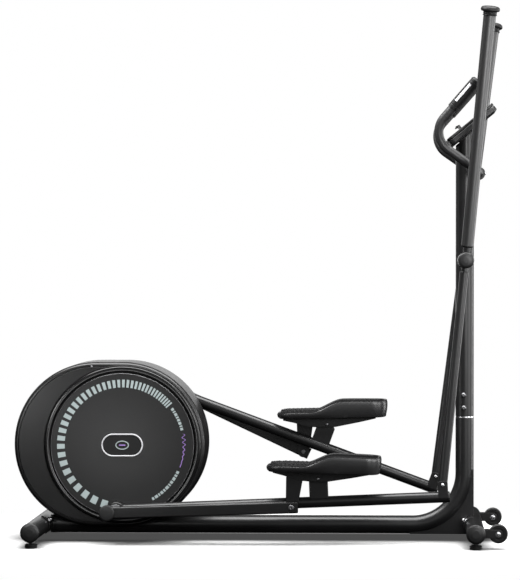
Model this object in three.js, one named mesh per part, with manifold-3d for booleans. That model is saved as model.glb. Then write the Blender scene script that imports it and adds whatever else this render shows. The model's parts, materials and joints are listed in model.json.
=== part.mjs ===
// Elliptical trainer, in millimetres: +X to the front, +Y to the user's left, +Z up.
// The origin is on the floor, under the middle of the machine.
import * as THREE from "three";
import { mergeVertices } from "three/addons/utils/BufferGeometryUtils.js";
import Module from "manifold-3d";

const wasm = await Module();
wasm.setup();

// ---------------------------------------------------------------- driving dimensions

const GAP = 0.4; // between pieces that rest on each other
const RIGHT = -1;
const LEFT = 1;

const FRAME = { radius: 28.5, wall: 2, baseZ: 48, mastX: 641, bend: 164, splitZ: 386, topZ: 1330 };
const SPIGOT = { radius: 25.4, wall: 3, bottomZ: 330, topZ: 478 };
const UPPER_MAST_Z = 390;

const BAR = { radius: 28.5, wall: 2, half: 280, rearX: -691, frontX: 669.6 }; // floor bars
const SADDLE = { thick: 3, half: 70, boltY: 50, boltAngle: 30, boltReach: 44 };
const CAP = { radius: 29.5, flange: 3, plug: 18 };
const GUSSET = { half: 18, sheet: 2.5, backX: 468, tipZ: 223 };
const FOOT = { y: 250, radius: 19, thick: 12, stem: 5.5, stemTop: 40 };
const WHEEL = { x: 738.3, z: 47, y: 241, radius: 29, half: 11, bore: 4.7, bolt: 4 };
const WHEEL_PLATE = { inner: 12.5, thick: 3, half: 13 };

const CRANK = { x: -427, z: 304, throw: 200, angle: -94.1, axle: 10 };
const HOUSING = { rearX: -510.6, radius: 257, half: 95, wall: 3, bevel: 11, bore: 32 };
const RING = { inner: 227, outer: 245, top: 104 };
const DISC = { radius: 224, back: 97.5, front: 105, skin: 3, rim: 5 };
const CRANK_ARM = { back: 96, front: 101.5, hub: 27, hubBack: 85, eye: 18, boss: 17, bossTip: 114 };
const BADGE = { half: 65, round: 35.75, thick: 5 };

const DRIVE = { plateY: 34, plate: 4, shell: 22, beltLow: 44, beltHigh: 56, pulley: 125 };
const FLYWHEEL = { x: -625, z: 312, radius: 98, half: 15, shaft: 8.5, pulley: 22 };
const BRAKE = { inner: 101.5, outer: 111, pivotAngle: 68, pivotReach: 114, farAngle: 185, half: 17 };

const ARM = { x: 641, z: 880, reach: 698, lowerY: 132, hubInner: 105, hubOuter: 185 };
const ARM_TUBE = { radius: 14.3, wall: 2, neck: 11.3, hub: 25, cap: 23.5 };
const HANDLE = { startY: 165, splay: 97, bottom: 40, top: 745, radius: 19.2, bore: 15.9, socket: 120 };
const HANDLE_CAP = { radius: 29, high: 29, neck: 21.5, neckHigh: 12 };
const CLEVIS = { half: 14.5, high: 49, inner: 121.2, outer: 142.8, ear: 5.4, bolt: 4, above: 33 };

const TUBE = { radius: 17.25, wall: 2, boss: 25, bossIn: 115, bossOut: 149, tail: 20 };
const TUBE_HANGER = { x: 1014, z: 38 }; // swing-arm pivot in the foot tube's frame
const TUBE_PEDAL = { x: 630, z: 74 }; // pedal pivot in the foot tube's frame
const LEG = { half: 29, inner: 120, outer: 144, wall: 3 };
const PIN = { radius: 10, start: 114.6, link: 151.5, linkEnd: 157.5, eye: 19, stub: 7, tip: 159.4 };
const ECCENTRIC = { throw: 25, angle: 190 };
const RAIL = { length: 570, high: 35, inner: 160, outer: 190, wall: 2, tail: 20 };
const RAIL_END = { eye: 23.2, capEnd: 197, boltIn: 153.2 };

const PEDAL = { back: -159.5, front: 195, inner: 80, outer: 218, bottom: 20, tread: 42, rim: 74.5 };
const PEDAL_LINK = { reach: 119, angle: 48.5 }; // rail pivot to tube pivot, in the level pedal's frame
const CHANNEL = { inner: 113, outer: 158.5, sheet: 4, top: 19.5 };

const BARS = { radius: 14.3, wall: 2, x: 685, z: 1152, crossY: 120, bend: 67 }; // fixed handlebar
const BARS_ELBOW = [526, 142, 1264];
const BARS_END = [672, 180, 1430];
const GRIP = { radius: 17, length: 112, end: 5 };

const CONSOLE = { x: 653, z: 1311.5, tilt: 39, length: 181, half: 100, thick: 26, face: 8, wall: 2.5 };
const DISPLAY = { x: 36, length: 62, half: 58, thick: 3 };
const BUTTON = { x: -74, pitch: 42, radius: 7, proud: 1.6, deep: 6 };

const PAINT = { color: 0x2f3032, roughness: 0.4, metalness: 0.55 };
const GLOSS = { color: 0x353536, roughness: 0.28, metalness: 0.0 };
const MATTE = { color: 0x1c1c1d, roughness: 0.65, metalness: 0.0 };
const RUBBER = { color: 0x141414, roughness: 0.85, metalness: 0.0 };
const STEEL = { color: 0xc4c7ca, roughness: 0.28, metalness: 1.0 };
const IRON = { color: 0x6b6d70, roughness: 0.5, metalness: 0.9 };
const SCREEN = { color: 0x3d4a45, roughness: 0.12, metalness: 0.0 };

// ---------------------------------------------------------------- solids

const rad = THREE.MathUtils.degToRad;

// A closed geometry as a solid whose faces point out.
function solid(geometry, matrix = new THREE.Matrix4()) {
  const flat = geometry.index ? geometry.toNonIndexed() : geometry;
  const bare = new THREE.BufferGeometry();
  bare.setAttribute("position", flat.getAttribute("position").clone());
  const merged = mergeVertices(bare.applyMatrix4(matrix), 1e-3);
  const order = [];
  for (let i = 0; i < merged.index.count; i += 3) {
    const [a, b, c] = [0, 1, 2].map((k) => merged.index.getX(i + k));
    if (a !== b && b !== c && c !== a) order.push(a, b, c);
  }
  const build = (triVerts) =>
    new wasm.Manifold(
      new wasm.Mesh({
        numProp: 3,
        vertProperties: merged.attributes.position.array,
        triVerts: new Uint32Array(triVerts),
      }),
    );
  const made = build(order);
  return made.volume() > 0 ? made : build(order.reverse());
}

const join = (first, ...rest) => rest.reduce((sum, next) => sum.add(next), first);
const cut = (first, ...rest) => rest.reduce((left, tool) => left.subtract(tool), first);

// A solid back as a geometry with flat faces.
function geometryOf(shape) {
  const mesh = shape.getMesh();
  const geometry = new THREE.BufferGeometry();
  geometry.setAttribute("position", new THREE.BufferAttribute(mesh.vertProperties, mesh.numProp));
  geometry.setIndex(new THREE.BufferAttribute(mesh.triVerts, 1));
  geometry.computeVertexNormals();
  return geometry;
}

function box([x0, x1], [y0, y1], [z0, z1], matrix) {
  const middle = new THREE.Matrix4().makeTranslation((x0 + x1) / 2, (y0 + y1) / 2, (z0 + z1) / 2);
  const placed = matrix ? matrix.clone().multiply(middle) : middle;
  return solid(new THREE.BoxGeometry(x1 - x0, y1 - y0, z1 - z0), placed);
}

function roundPoints(x, y, radius, sides, start = 0, sweep = 2 * Math.PI) {
  const whole = sweep >= 2 * Math.PI;
  const count = whole ? sides : sides + 1;
  return Array.from({ length: count }, (_, i) => {
    const angle = start + (sweep * i) / sides;
    return new THREE.Vector2(x + radius * Math.cos(angle), y + radius * Math.sin(angle));
  });
}

const circle = (x, y, radius, sides = 14) => roundPoints(x, y, radius, sides);
const polygon = (...corners) => corners.map(([x, y]) => new THREE.Vector2(x, y));

// The outline of a strap round two circles.
function strap([ax, ay, ar], [bx, by, br], sides = 20) {
  const heading = Math.atan2(by - ay, bx - ax);
  const lean = Math.acos((ar - br) / Math.hypot(bx - ax, by - ay));
  return [
    ...roundPoints(ax, ay, ar, sides, heading + lean, 2 * (Math.PI - lean)),
    ...roundPoints(bx, by, br, sides, heading - lean, 2 * lean),
  ];
}

// The outline of a rectangle with round corners.
function roundBox(x0, x1, y0, y1, radius, sides = 4) {
  const corner = (x, y, quarter) => roundPoints(x, y, radius, sides, (quarter * Math.PI) / 2, Math.PI / 2);
  return [
    ...corner(x1 - radius, y1 - radius, 0),
    ...corner(x0 + radius, y1 - radius, 1),
    ...corner(x0 + radius, y0 + radius, 2),
    ...corner(x1 - radius, y0 + radius, 3),
  ];
}

// An outline seen from the side (X across, Z up) with thickness from y0 to y1.
function plate(outline, y0, y1, holes = [], extra = {}) {
  const shape = new THREE.Shape(outline);
  shape.holes = holes.map((points) => new THREE.Path(points));
  const depth = Math.abs(y1 - y0);
  const options = { depth, bevelEnabled: false, ...extra };
  const turn = new THREE.Matrix4().makeRotationX(Math.PI / 2);
  turn.premultiply(new THREE.Matrix4().makeTranslation(0, Math.max(y0, y1), 0));
  return solid(new THREE.ExtrudeGeometry(shape, options), turn);
}

// The same on one side of the machine, with inner and outer distances from its middle.
const sidePlate = (outline, side, inner, outer, holes) => plate(outline, side * inner, side * outer, holes);

// A plan outline (X and Y) with height from z0 to z1.
function slab(outline, z0, z1) {
  const options = { depth: z1 - z0, bevelEnabled: false };
  const raise = new THREE.Matrix4().makeTranslation(0, 0, z0);
  return solid(new THREE.ExtrudeGeometry(new THREE.Shape(outline), options), raise);
}

// A turned piece: profile points are [radius, distance along the axis].
function turned(profile, matrix, sides = 16) {
  const points = profile.map(([radius, along]) => new THREE.Vector2(radius, along));
  return solid(new THREE.LatheGeometry(points, sides), matrix);
}

// Its axis across the machine, through (x, z), outwards on the given side.
function across(x, z, side = LEFT) {
  return new THREE.Matrix4().makeTranslation(x, 0, z).scale(new THREE.Vector3(1, side, 1));
}

// Its axis along a direction from a point.
function along(from, to) {
  const direction = to.clone().sub(from).normalize();
  const turn = new THREE.Quaternion().setFromUnitVectors(new THREE.Vector3(0, 1, 0), direction);
  return new THREE.Matrix4().compose(from, turn, new THREE.Vector3(1, 1, 1));
}

const ringProfile = (inner, outer, low, high) => [
  [inner, low],
  [outer, low],
  [outer, high],
  [inner, high],
  [inner, low],
];

const rodProfile = (radius, low, high) => [
  [0, low],
  [radius, low],
  [radius, high],
  [0, high],
];

// A bolt with a round domed head at each end.
function boltProfile(radius, low, high, head = 1.8 * radius, dome = radius) {
  return [
    [0, low - dome],
    [0.7 * head, low - 0.8 * dome],
    [head, low],
    [radius, low],
    [radius, high],
    [head, high],
    [0.7 * head, high + 0.8 * dome],
    [0, high + dome],
  ];
}

// A centreline of straight runs joined by arcs: each inner corner is [x, y, z, bend radius].
class BentPath extends THREE.Curve {
  constructor(corners, step = Math.PI / 12) {
    super();
    const at = corners.map(([x, y, z]) => new THREE.Vector3(x, y, z));
    const heading = (i) => at[i + 1].clone().sub(at[i]).normalize();
    this.stations = [{ point: at[0], tangent: heading(0) }];
    for (let i = 1; i < at.length - 1; i++) {
      this.#bend(at[i], heading(i - 1), heading(i), corners[i][3], step);
    }
    this.stations.push({ point: at.at(-1), tangent: heading(at.length - 2) });
  }

  #bend(corner, before, after, radius, step) {
    const angle = before.angleTo(after);
    const axis = before.clone().cross(after).normalize();
    const start = corner.clone().addScaledVector(before, -radius * Math.tan(angle / 2));
    const centre = start.clone().addScaledVector(axis.clone().cross(before), radius);
    const count = Math.ceil(angle / step);
    for (let k = 0; k <= count; k++) {
      const turn = (angle * k) / count;
      const point = start.clone().sub(centre).applyAxisAngle(axis, turn).add(centre);
      this.stations.push({ point, tangent: before.clone().applyAxisAngle(axis, turn) });
    }
  }

  get steps() {
    return this.stations.length - 1;
  }

  #station(t) {
    return this.stations[Math.round(t * this.steps)];
  }

  getPoint(t) {
    return this.#station(t).point.clone();
  }

  getPointAt(u) {
    return this.getPoint(u);
  }

  getTangent(t) {
    return this.#station(t).tangent.clone();
  }

  getTangentAt(u) {
    return this.getTangent(u);
  }
}

// A round tube along a path: hollow where it has a wall.
function pipe(path, radius, wall = 0, sides = 16) {
  const shape = new THREE.Shape(circle(0, 0, radius, sides));
  if (wall) shape.holes = [new THREE.Path(circle(0, 0, radius - wall, sides))];
  const options = { steps: path.steps, extrudePath: path, bevelEnabled: false };
  return solid(new THREE.ExtrudeGeometry(shape, options));
}

const straight = (from, to) => new BentPath([from, to]);

// ---------------------------------------------------------------- linkage at rest (X, Z)

// The point at two distances from two others, on the right of the way from the first to the second.
function meet(first, near, second, far) {
  const way = second.clone().sub(first);
  const span = way.length();
  way.normalize();
  const ahead = (near ** 2 - far ** 2 + span ** 2) / (2 * span);
  const aside = Math.sqrt(near ** 2 - ahead ** 2);
  const right = new THREE.Vector2(way.y, -way.x);
  return first.clone().addScaledVector(way, ahead).addScaledVector(right, aside);
}

const polar = (length, angle) => new THREE.Vector2(Math.cos(angle), Math.sin(angle)).multiplyScalar(length);
const bearing = (from, to) => to.clone().sub(from).angle();
const signed = (angle) => Math.atan2(Math.sin(angle), Math.cos(angle));

// Where one side's linkage lies for its crank angle in degrees.
function linkage(crankDegrees) {
  const pin = polar(CRANK.throw, rad(crankDegrees)).add(new THREE.Vector2(CRANK.x, CRANK.z));
  const pivot = new THREE.Vector2(ARM.x, ARM.z);
  const hanger = new THREE.Vector2(TUBE_HANGER.x, TUBE_HANGER.z);
  const foot = new THREE.Vector2(TUBE_PEDAL.x, TUBE_PEDAL.z);
  const swing = meet(pin, hanger.length(), pivot, ARM.reach);
  const tubeAngle = signed(bearing(pin, swing) - hanger.angle());
  const pedal = foot.rotateAround(new THREE.Vector2(), tubeAngle).add(pin);
  const turned = rad(crankDegrees - CRANK.angle + ECCENTRIC.angle);
  const eccentric = polar(ECCENTRIC.throw, turned).add(pin);
  const rail = meet(eccentric, RAIL.length, pedal, PEDAL_LINK.reach);
  return {
    pin,
    swing,
    pedal,
    eccentric,
    rail,
    tubeAngle,
    armAngle: Math.atan2(pivot.x - swing.x, pivot.y - swing.y),
    railAngle: signed(bearing(eccentric, rail)),
    pedalAngle: signed(bearing(rail, pedal) - rad(PEDAL_LINK.angle)),
  };
}

// ---------------------------------------------------------------- assembly

const trainer = new THREE.Group();

function add(name, shape, look, parent = trainer) {
  const mesh = new THREE.Mesh(geometryOf(shape), new THREE.MeshStandardMaterial(look));
  mesh.name = name;
  parent.add(mesh);
}

// A group at (x, z), turned up at its front by an angle in radians.
function frameAt({ x, y: z }, angle) {
  const group = new THREE.Group();
  group.position.set(x, 0, z);
  group.rotation.y = -angle;
  trainer.add(group);
  return group;
}

const sideName = (side) => (side === RIGHT ? "right" : "left");

// ---------------------------------------------------------------- frame and floor bars

const spine = () =>
  new BentPath([
    [BAR.rearX, 0, FRAME.baseZ],
    [FRAME.mastX, 0, FRAME.baseZ, FRAME.bend],
    [FRAME.mastX, 0, FRAME.splitZ],
  ]);

// The plate that hugs a floor bar, with its two bolts; it faces forwards (1) or backwards (-1).
function saddle(barX, facing) {
  const low = BAR.radius + GAP;
  const sweep = rad(135);
  const start = facing > 0 ? rad(-55) : rad(100);
  const outer = roundPoints(barX, FRAME.baseZ, low + SADDLE.thick, 12, start, sweep);
  const inner = roundPoints(barX, FRAME.baseZ, low, 12, start, sweep).reverse();
  let made = plate([...outer, ...inner], -SADDLE.half, SADDLE.half);
  const lean = rad(facing > 0 ? SADDLE.boltAngle : 180 - SADDLE.boltAngle);
  for (const y of [-SADDLE.boltY, SADDLE.boltY]) {
    const from = new THREE.Vector3(barX + low * Math.cos(lean), y, FRAME.baseZ + low * Math.sin(lean));
    const outwards = new THREE.Vector3(Math.cos(lean), 0, Math.sin(lean));
    const to = from.clone().add(outwards);
    const top = SADDLE.boltReach - low;
    const nut = [
      [0, 0.6],
      [9.5, 0.6],
      [9.5, SADDLE.thick + 2],
      [6.8, SADDLE.thick + 2],
      [6.8, top - 4],
      [4, top],
      [0, top],
    ];
    made = made.add(turned(nut, along(from, to), 8));
  }
  return made;
}

function baseFrame() {
  const barSpace = plate(circle(BAR.rearX, FRAME.baseZ, BAR.radius + GAP + 1.5, 32), -40, 40);
  const tube = cut(pipe(spine(), FRAME.radius, FRAME.wall), barSpace);
  const spigot = [
    [SPIGOT.radius - SPIGOT.wall, SPIGOT.bottomZ],
    [FRAME.radius - FRAME.wall + 0.5, SPIGOT.bottomZ],
    [FRAME.radius - FRAME.wall + 0.5, FRAME.splitZ - 4],
    [SPIGOT.radius, FRAME.splitZ - 4],
    [SPIGOT.radius, SPIGOT.topZ],
    [SPIGOT.radius - SPIGOT.wall, SPIGOT.topZ],
    [SPIGOT.radius - SPIGOT.wall, SPIGOT.bottomZ],
  ];
  const upright = along(new THREE.Vector3(FRAME.mastX, 0, 0), new THREE.Vector3(FRAME.mastX, 0, 1));
  return join(tube, turned(spigot, upright), saddle(BAR.rearX, 1));
}

// A folded filler in the corner outside the mast's bend, with the front bar's saddle.
function mastGusset() {
  const [cx, cz] = [FRAME.mastX - FRAME.bend, FRAME.baseZ + FRAME.bend];
  const frontX = FRAME.mastX + FRAME.radius;
  const lowZ = FRAME.baseZ - FRAME.radius;
  const arc = roundPoints(cx, cz, FRAME.bend, 16, rad(-93), rad(96));
  const outline = [...arc, ...polygon([frontX, GUSSET.tipZ], [frontX, lowZ], [GUSSET.backX, lowZ])];
  const [innerX, innerZ] = [frontX - GUSSET.sheet, lowZ + GUSSET.sheet];
  const inside = polygon([0, innerZ], [innerX, innerZ], [innerX, 400], [0, 400]);
  const innerHalf = GUSSET.half - GUSSET.sheet;
  const folded = cut(
    plate(outline, -GUSSET.half, GUSSET.half),
    plate(inside, -innerHalf, innerHalf),
    pipe(spine(), FRAME.radius + GAP),
    plate(circle(BAR.frontX, FRAME.baseZ, BAR.radius + GAP + 1.5, 32), -40, 40),
  );
  return folded.add(saddle(BAR.frontX, -1));
}

function floorBar(barX) {
  const ends = BAR.half - CAP.flange - GAP;
  const tube = pipe(straight([barX, -ends, FRAME.baseZ], [barX, ends, FRAME.baseZ]), BAR.radius, BAR.wall);
  const stemRoom = FOOT.stem + 0.8;
  const holes = [-FOOT.y, FOOT.y].map((y) =>
    box([barX - stemRoom, barX + stemRoom], [y - stemRoom, y + stemRoom], [0, FRAME.baseZ]),
  );
  return cut(tube, ...holes);
}

// The front floor bar also has a fork and a bolt for each transport wheel.
function frontBar() {
  let made = floorBar(BAR.frontX);
  const start = BAR.frontX + BAR.radius - 6;
  const outline = [
    ...roundPoints(WHEEL.x, WHEEL.z, WHEEL_PLATE.half, 10, -Math.PI / 2, Math.PI),
    ...polygon([start, WHEEL.z + WHEEL_PLATE.half], [start, WHEEL.z - WHEEL_PLATE.half]),
  ];
  for (const side of [RIGHT, LEFT]) {
    for (const edge of [-1, 1]) {
      const inner = WHEEL.y + edge * WHEEL_PLATE.inner;
      made = made.add(sidePlate(outline, side, inner, inner + edge * WHEEL_PLATE.thick));
    }
    const reach = WHEEL_PLATE.inner + WHEEL_PLATE.thick;
    const bolt = boltProfile(WHEEL.bolt, WHEEL.y - reach, WHEEL.y + reach, 6.5, 4);
    made = made.add(turned(bolt, across(WHEEL.x, WHEEL.z, side), 8));
  }
  return made;
}

function endCap(barX, side) {
  const profile = [
    [0, BAR.half],
    [CAP.radius - 3, BAR.half],
    [CAP.radius, BAR.half - CAP.flange + 0.6],
    [CAP.radius, BAR.half - CAP.flange],
    [BAR.radius - BAR.wall - GAP - 0.5, BAR.half - CAP.flange],
    [BAR.radius - BAR.wall - GAP - 0.5, BAR.half - CAP.plug],
    [0, BAR.half - CAP.plug],
  ];
  return turned(profile, across(barX, FRAME.baseZ, side));
}

function levellingFoot(barX, side) {
  const profile = [
    [0, 0],
    [FOOT.radius, 0],
    [FOOT.radius, FOOT.thick - 2],
    [FOOT.radius - 3, FOOT.thick],
    [FOOT.stem, FOOT.thick],
    [FOOT.stem, FOOT.stemTop],
    [0, FOOT.stemTop],
  ];
  const at = new THREE.Vector3(barX, side * FOOT.y, 0);
  return turned(profile, along(at, at.clone().setZ(1)), 16);
}

function transportWheel(side) {
  const [low, high] = [WHEEL.y - WHEEL.half, WHEEL.y + WHEEL.half];
  const profile = [
    [WHEEL.bore, low],
    [WHEEL.radius - 3, low],
    [WHEEL.radius, low + 3],
    [WHEEL.radius, high - 3],
    [WHEEL.radius - 3, high],
    [WHEEL.bore, high],
    [WHEEL.bore, low],
  ];
  return turned(profile, across(WHEEL.x, WHEEL.z, side), 20);
}

add("base_frame", baseFrame(), PAINT);
add("mast_gusset", mastGusset(), PAINT);
add("front_stabilizer", frontBar(), PAINT);
add("rear_stabilizer", floorBar(BAR.rearX), PAINT);
for (const side of [RIGHT, LEFT]) {
  for (const [end, barX] of [["front", BAR.frontX], ["rear", BAR.rearX]]) {
    add(`${end}_${sideName(side)}_end_cap`, endCap(barX, side), MATTE);
    add(`${end}_${sideName(side)}_foot`, levellingFoot(barX, side), RUBBER);
  }
  add(`${sideName(side)}_transport_wheel`, transportWheel(side), RUBBER);
}

// ---------------------------------------------------------------- mast, axle, fixed handlebar

const consoleFrame = new THREE.Group();
consoleFrame.position.set(CONSOLE.x, 0, CONSOLE.z);
consoleFrame.rotation.y = -rad(CONSOLE.tilt);
consoleFrame.updateMatrix();
trainer.add(consoleFrame);

const UNDERSIDE = -CONSOLE.thick - GAP; // of the console, in its own frame
const BRACKET_SHEET = 4;

function upperMast() {
  const upright = straight([FRAME.mastX, 0, UPPER_MAST_Z], [FRAME.mastX, 0, FRAME.topZ]);
  const tube = pipe(upright, FRAME.radius, FRAME.wall);
  const roof = UNDERSIDE - BRACKET_SHEET - GAP;
  const above = box([-300, 300], [-60, 60], [roof, 300], consoleFrame.matrix);
  return cut(tube, above, plate(circle(ARM.x, ARM.z, 17.5), -60, 60));
}

// A fixed cross tube through the mast, with a journal at each end for a swing arm.
function armAxle() {
  const half = [
    [17, 0],
    [17, ARM.hubInner - 2],
    [14, ARM.hubInner - 2],
    [14, ARM.hubInner - 0.5],
    [10, ARM.hubInner - 0.5],
    [10, ARM.hubOuter - 5],
  ];
  const mirrored = half.slice(1).reverse().map(([radius, y]) => [radius, -y]);
  const profile = [[0, 5 - ARM.hubOuter], ...mirrored, ...half.slice(1), [0, ARM.hubOuter - 5]];
  return turned(profile, across(ARM.x, ARM.z));
}

// One side of the handlebar's centreline, from the middle of its crossbar to the grip's end.
function barRoute(side) {
  const [ex, ey, ez] = BARS_ELBOW;
  const [tx, ty, tz] = BARS_END;
  return [
    [BARS.x, side * BARS.crossY, BARS.z, 45],
    [ex, side * ey, ez, BARS.bend],
    [tx, side * ty, tz],
  ];
}

function fixedHandlebar() {
  const path = new BentPath([...barRoute(RIGHT).reverse(), ...barRoute(LEFT)], Math.PI / 7);
  return pipe(path, BARS.radius, BARS.wall, 12);
}

function fixedGrip(side) {
  const end = new THREE.Vector3(BARS_END[0], side * BARS_END[1], BARS_END[2]);
  const elbow = new THREE.Vector3(BARS_ELBOW[0], side * BARS_ELBOW[1], BARS_ELBOW[2]);
  const bore = BARS.radius + GAP;
  const profile = [
    [bore, 0],
    [GRIP.radius, 0],
    [GRIP.radius, GRIP.length + GAP],
    [GRIP.radius - 3, GRIP.length + GAP + GRIP.end],
    [0, GRIP.length + GAP + GRIP.end],
    [0, GRIP.length + GAP],
    [bore, GRIP.length + GAP],
    [bore, 0],
  ];
  const start = end.clone().add(elbow.sub(end).setLength(GRIP.length));
  return turned(profile, along(start, end));
}

// A block that holds the crossbar against the front of the mast.
function handlebarClamp() {
  const nose = roundPoints(BARS.x, BARS.z, 20, 8, -Math.PI / 2, Math.PI);
  const outline = [...nose, ...polygon([BARS.x - 40, BARS.z + 20], [BARS.x - 40, BARS.z - 20])];
  const mast = straight([FRAME.mastX, 0, BARS.z - 60], [FRAME.mastX, 0, BARS.z + 60]);
  return cut(
    plate(outline, -22, 22),
    pipe(mast, FRAME.radius + GAP),
    plate(circle(BARS.x, BARS.z, BARS.radius + GAP), -40, 40),
  );
}

add("upper_mast", upperMast(), PAINT);
add("arm_axle", armAxle(), STEEL);
add("fixed_handlebar", fixedHandlebar(), PAINT);
add("handlebar_clamp", handlebarClamp(), MATTE);
for (const side of [RIGHT, LEFT]) add(`${sideName(side)}_fixed_grip`, fixedGrip(side), RUBBER);

// ---------------------------------------------------------------- console (its own frame: Z out of the face)

const consoleOutline = (inset) =>
  roundBox(
    -CONSOLE.length / 2 + inset,
    CONSOLE.length / 2 - inset,
    -CONSOLE.half + inset,
    CONSOLE.half - inset,
    18 - inset,
  );

const displayOutline = (inset) =>
  roundBox(
    DISPLAY.x - DISPLAY.length / 2 + inset,
    DISPLAY.x + DISPLAY.length / 2 - inset,
    -DISPLAY.half + inset,
    DISPLAY.half - inset,
    6,
    2,
  );

const buttonSpot = (index) => [BUTTON.x, (index - 1) * BUTTON.pitch];

function consoleBack() {
  const tray = slab(consoleOutline(0), -CONSOLE.thick, -CONSOLE.face - GAP);
  return cut(tray, slab(consoleOutline(CONSOLE.wall), CONSOLE.wall - CONSOLE.thick, 0));
}

function consoleFront() {
  const face = slab(consoleOutline(0), -CONSOLE.face, 0);
  const hollow = slab(consoleOutline(CONSOLE.wall), -CONSOLE.face - 1, -CONSOLE.wall - 1);
  const holes = [0, 1, 2].map((i) => slab(circle(...buttonSpot(i), BUTTON.radius + 0.5), -20, 20));
  const ledgeX = -34;
  const ledge = polygon(
    [ledgeX, -2],
    [ledgeX + 4, -2],
    [ledgeX + 4, 12],
    [ledgeX - 8, 15],
    [ledgeX - 8, 12],
    [ledgeX, 10],
  );
  return cut(face, hollow, slab(displayOutline(0), -20, 20), ...holes).add(plate(ledge, -70, 70));
}

const displayWindow = () => slab(displayOutline(GAP), -DISPLAY.thick, -0.4);

// A plate under the console with a plug that fits in the mast.
function consoleBracket() {
  const sheet = slab(roundBox(-62, 30, -36, 36, 10, 2), UNDERSIDE - BRACKET_SHEET, UNDERSIDE);
  const low = new THREE.Vector3(FRAME.mastX, 0, 1195).applyMatrix4(consoleFrame.matrix.clone().invert());
  const high = new THREE.Vector3(FRAME.mastX, 0, 1300).applyMatrix4(consoleFrame.matrix.clone().invert());
  const outer = FRAME.radius - FRAME.wall - GAP - 0.3;
  const plug = turned(ringProfile(outer - 3, outer, 0, 105), along(low, high));
  return cut(plug, box([-200, 200], [-60, 60], [UNDERSIDE - 1, 200])).add(sheet);
}

const consoleButton = (index) =>
  slab(circle(...buttonSpot(index), BUTTON.radius, 14), -BUTTON.deep, BUTTON.proud);

add("console_bracket", consoleBracket(), PAINT, consoleFrame);
add("console_back", consoleBack(), MATTE, consoleFrame);
add("console_front", consoleFront(), GLOSS, consoleFrame);
add("display_window", displayWindow(), SCREEN, consoleFrame);
["reset", "mode", "set"].forEach((label, i) => {
  add(`${label}_button`, consoleButton(i), RUBBER, consoleFrame);
});

// ---------------------------------------------------------------- drive housing

const housingOutline = (inset) => {
  const radius = HOUSING.radius - inset;
  return strap([HOUSING.rearX, CRANK.z + 1, radius], [CRANK.x, CRANK.z + 1, radius], 16);
};

// A solid housing from one face to the other with bevelled edges, shrunk by an inset.
function housingBody(inset) {
  const half = HOUSING.half - inset - HOUSING.bevel;
  const bevel = {
    bevelEnabled: true,
    bevelThickness: HOUSING.bevel,
    bevelSize: HOUSING.bevel,
    bevelOffset: -HOUSING.bevel,
    bevelSegments: 2,
  };
  return plate(housingOutline(inset), -half, half, [], bevel);
}

function housingShell(side) {
  const walls = cut(housingBody(0), housingBody(HOUSING.wall));
  const tubeRoom = FRAME.radius + 1;
  const other = [-side * 200, side * 0.3].sort((a, b) => a - b);
  return cut(
    walls,
    box([-900, 100], other, [-10, 700]),
    box([-900, 100], [-tubeRoom, tubeRoom], [0, FRAME.baseZ + tubeRoom]),
    sidePlate(circle(CRANK.x, CRANK.z, HOUSING.bore, 24), side, 60, 120),
  );
}

function trimRing(side) {
  const low = HOUSING.half + GAP;
  const profile = [
    [RING.inner, low],
    [RING.outer, low],
    [RING.outer - 2, RING.top - 2],
    [RING.outer - 5, RING.top],
    [RING.inner + 3, RING.top],
    [RING.inner, RING.top - 3],
    [RING.inner, low],
  ];
  return turned(profile, across(CRANK.x, CRANK.z, side), 32);
}

for (const side of [RIGHT, LEFT]) {
  add(`${sideName(side)}_housing_shell`, housingShell(side), GLOSS);
  add(`${sideName(side)}_trim_ring`, trimRing(side), GLOSS);
}

// ---------------------------------------------------------------- drive inside the housing

const flywheelAxis = new THREE.Vector2(FLYWHEEL.x, FLYWHEEL.z);
const brakePivot = polar(BRAKE.pivotReach, rad(BRAKE.pivotAngle)).add(flywheelAxis);

// Two upright plates on a foot that stands on the base tube, with the crank's bearing tube between them.
function driveBracket() {
  const footZ = FRAME.baseZ + FRAME.radius + GAP;
  const outline = polygon(
    [FLYWHEEL.x + 25, footZ],
    [FLYWHEEL.x - 22, FLYWHEEL.z + 22],
    [FLYWHEEL.x + 22, FLYWHEEL.z + 22],
    [brakePivot.x - 14, brakePivot.y + 14],
    [brakePivot.x + 14, brakePivot.y + 14],
    [CRANK.x - 20, CRANK.z + 30],
    [CRANK.x + 30, CRANK.z + 30],
    [CRANK.x + 30, CRANK.z - 40],
    [CRANK.x + 70, footZ],
  );
  const shaftHole = circle(FLYWHEEL.x, FLYWHEEL.z, FLYWHEEL.shaft + 1.2);
  const outer = DRIVE.plateY + DRIVE.plate;
  const walls = [RIGHT, LEFT].map((side) => sidePlate(outline, side, DRIVE.plateY, outer, [shaftHole]));
  const foot = box([FLYWHEEL.x + 26, CRANK.x + 68], [-outer, outer], [footZ, footZ + DRIVE.plate]);
  const bearingTube = turned(rodProfile(DRIVE.shell, -outer, outer), across(CRANK.x, CRANK.z));
  const brakePin = turned(rodProfile(4, 0.5 - outer, outer - 0.5), across(brakePivot.x, brakePivot.y), 10);
  const bore = turned(rodProfile(DRIVE.shell - 4, -60, 60), across(CRANK.x, CRANK.z));
  return cut(join(walls[0], walls[1], foot, bearingTube, brakePin), bore);
}

function crankBearing() {
  return turned(ringProfile(CRANK.axle + 0.5, DRIVE.shell - 4.5, -36, 36), across(CRANK.x, CRANK.z));
}

// The belt runs flat round the crank's pulley and the flywheel's.
function driveBelt() {
  const loop = (extra) =>
    strap([FLYWHEEL.x, FLYWHEEL.z, FLYWHEEL.pulley + extra], [CRANK.x, CRANK.z, DRIVE.pulley + extra], 18);
  return plate(loop(3.5), DRIVE.beltLow + 2, DRIVE.beltHigh - 2, [loop(1)]);
}

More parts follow.
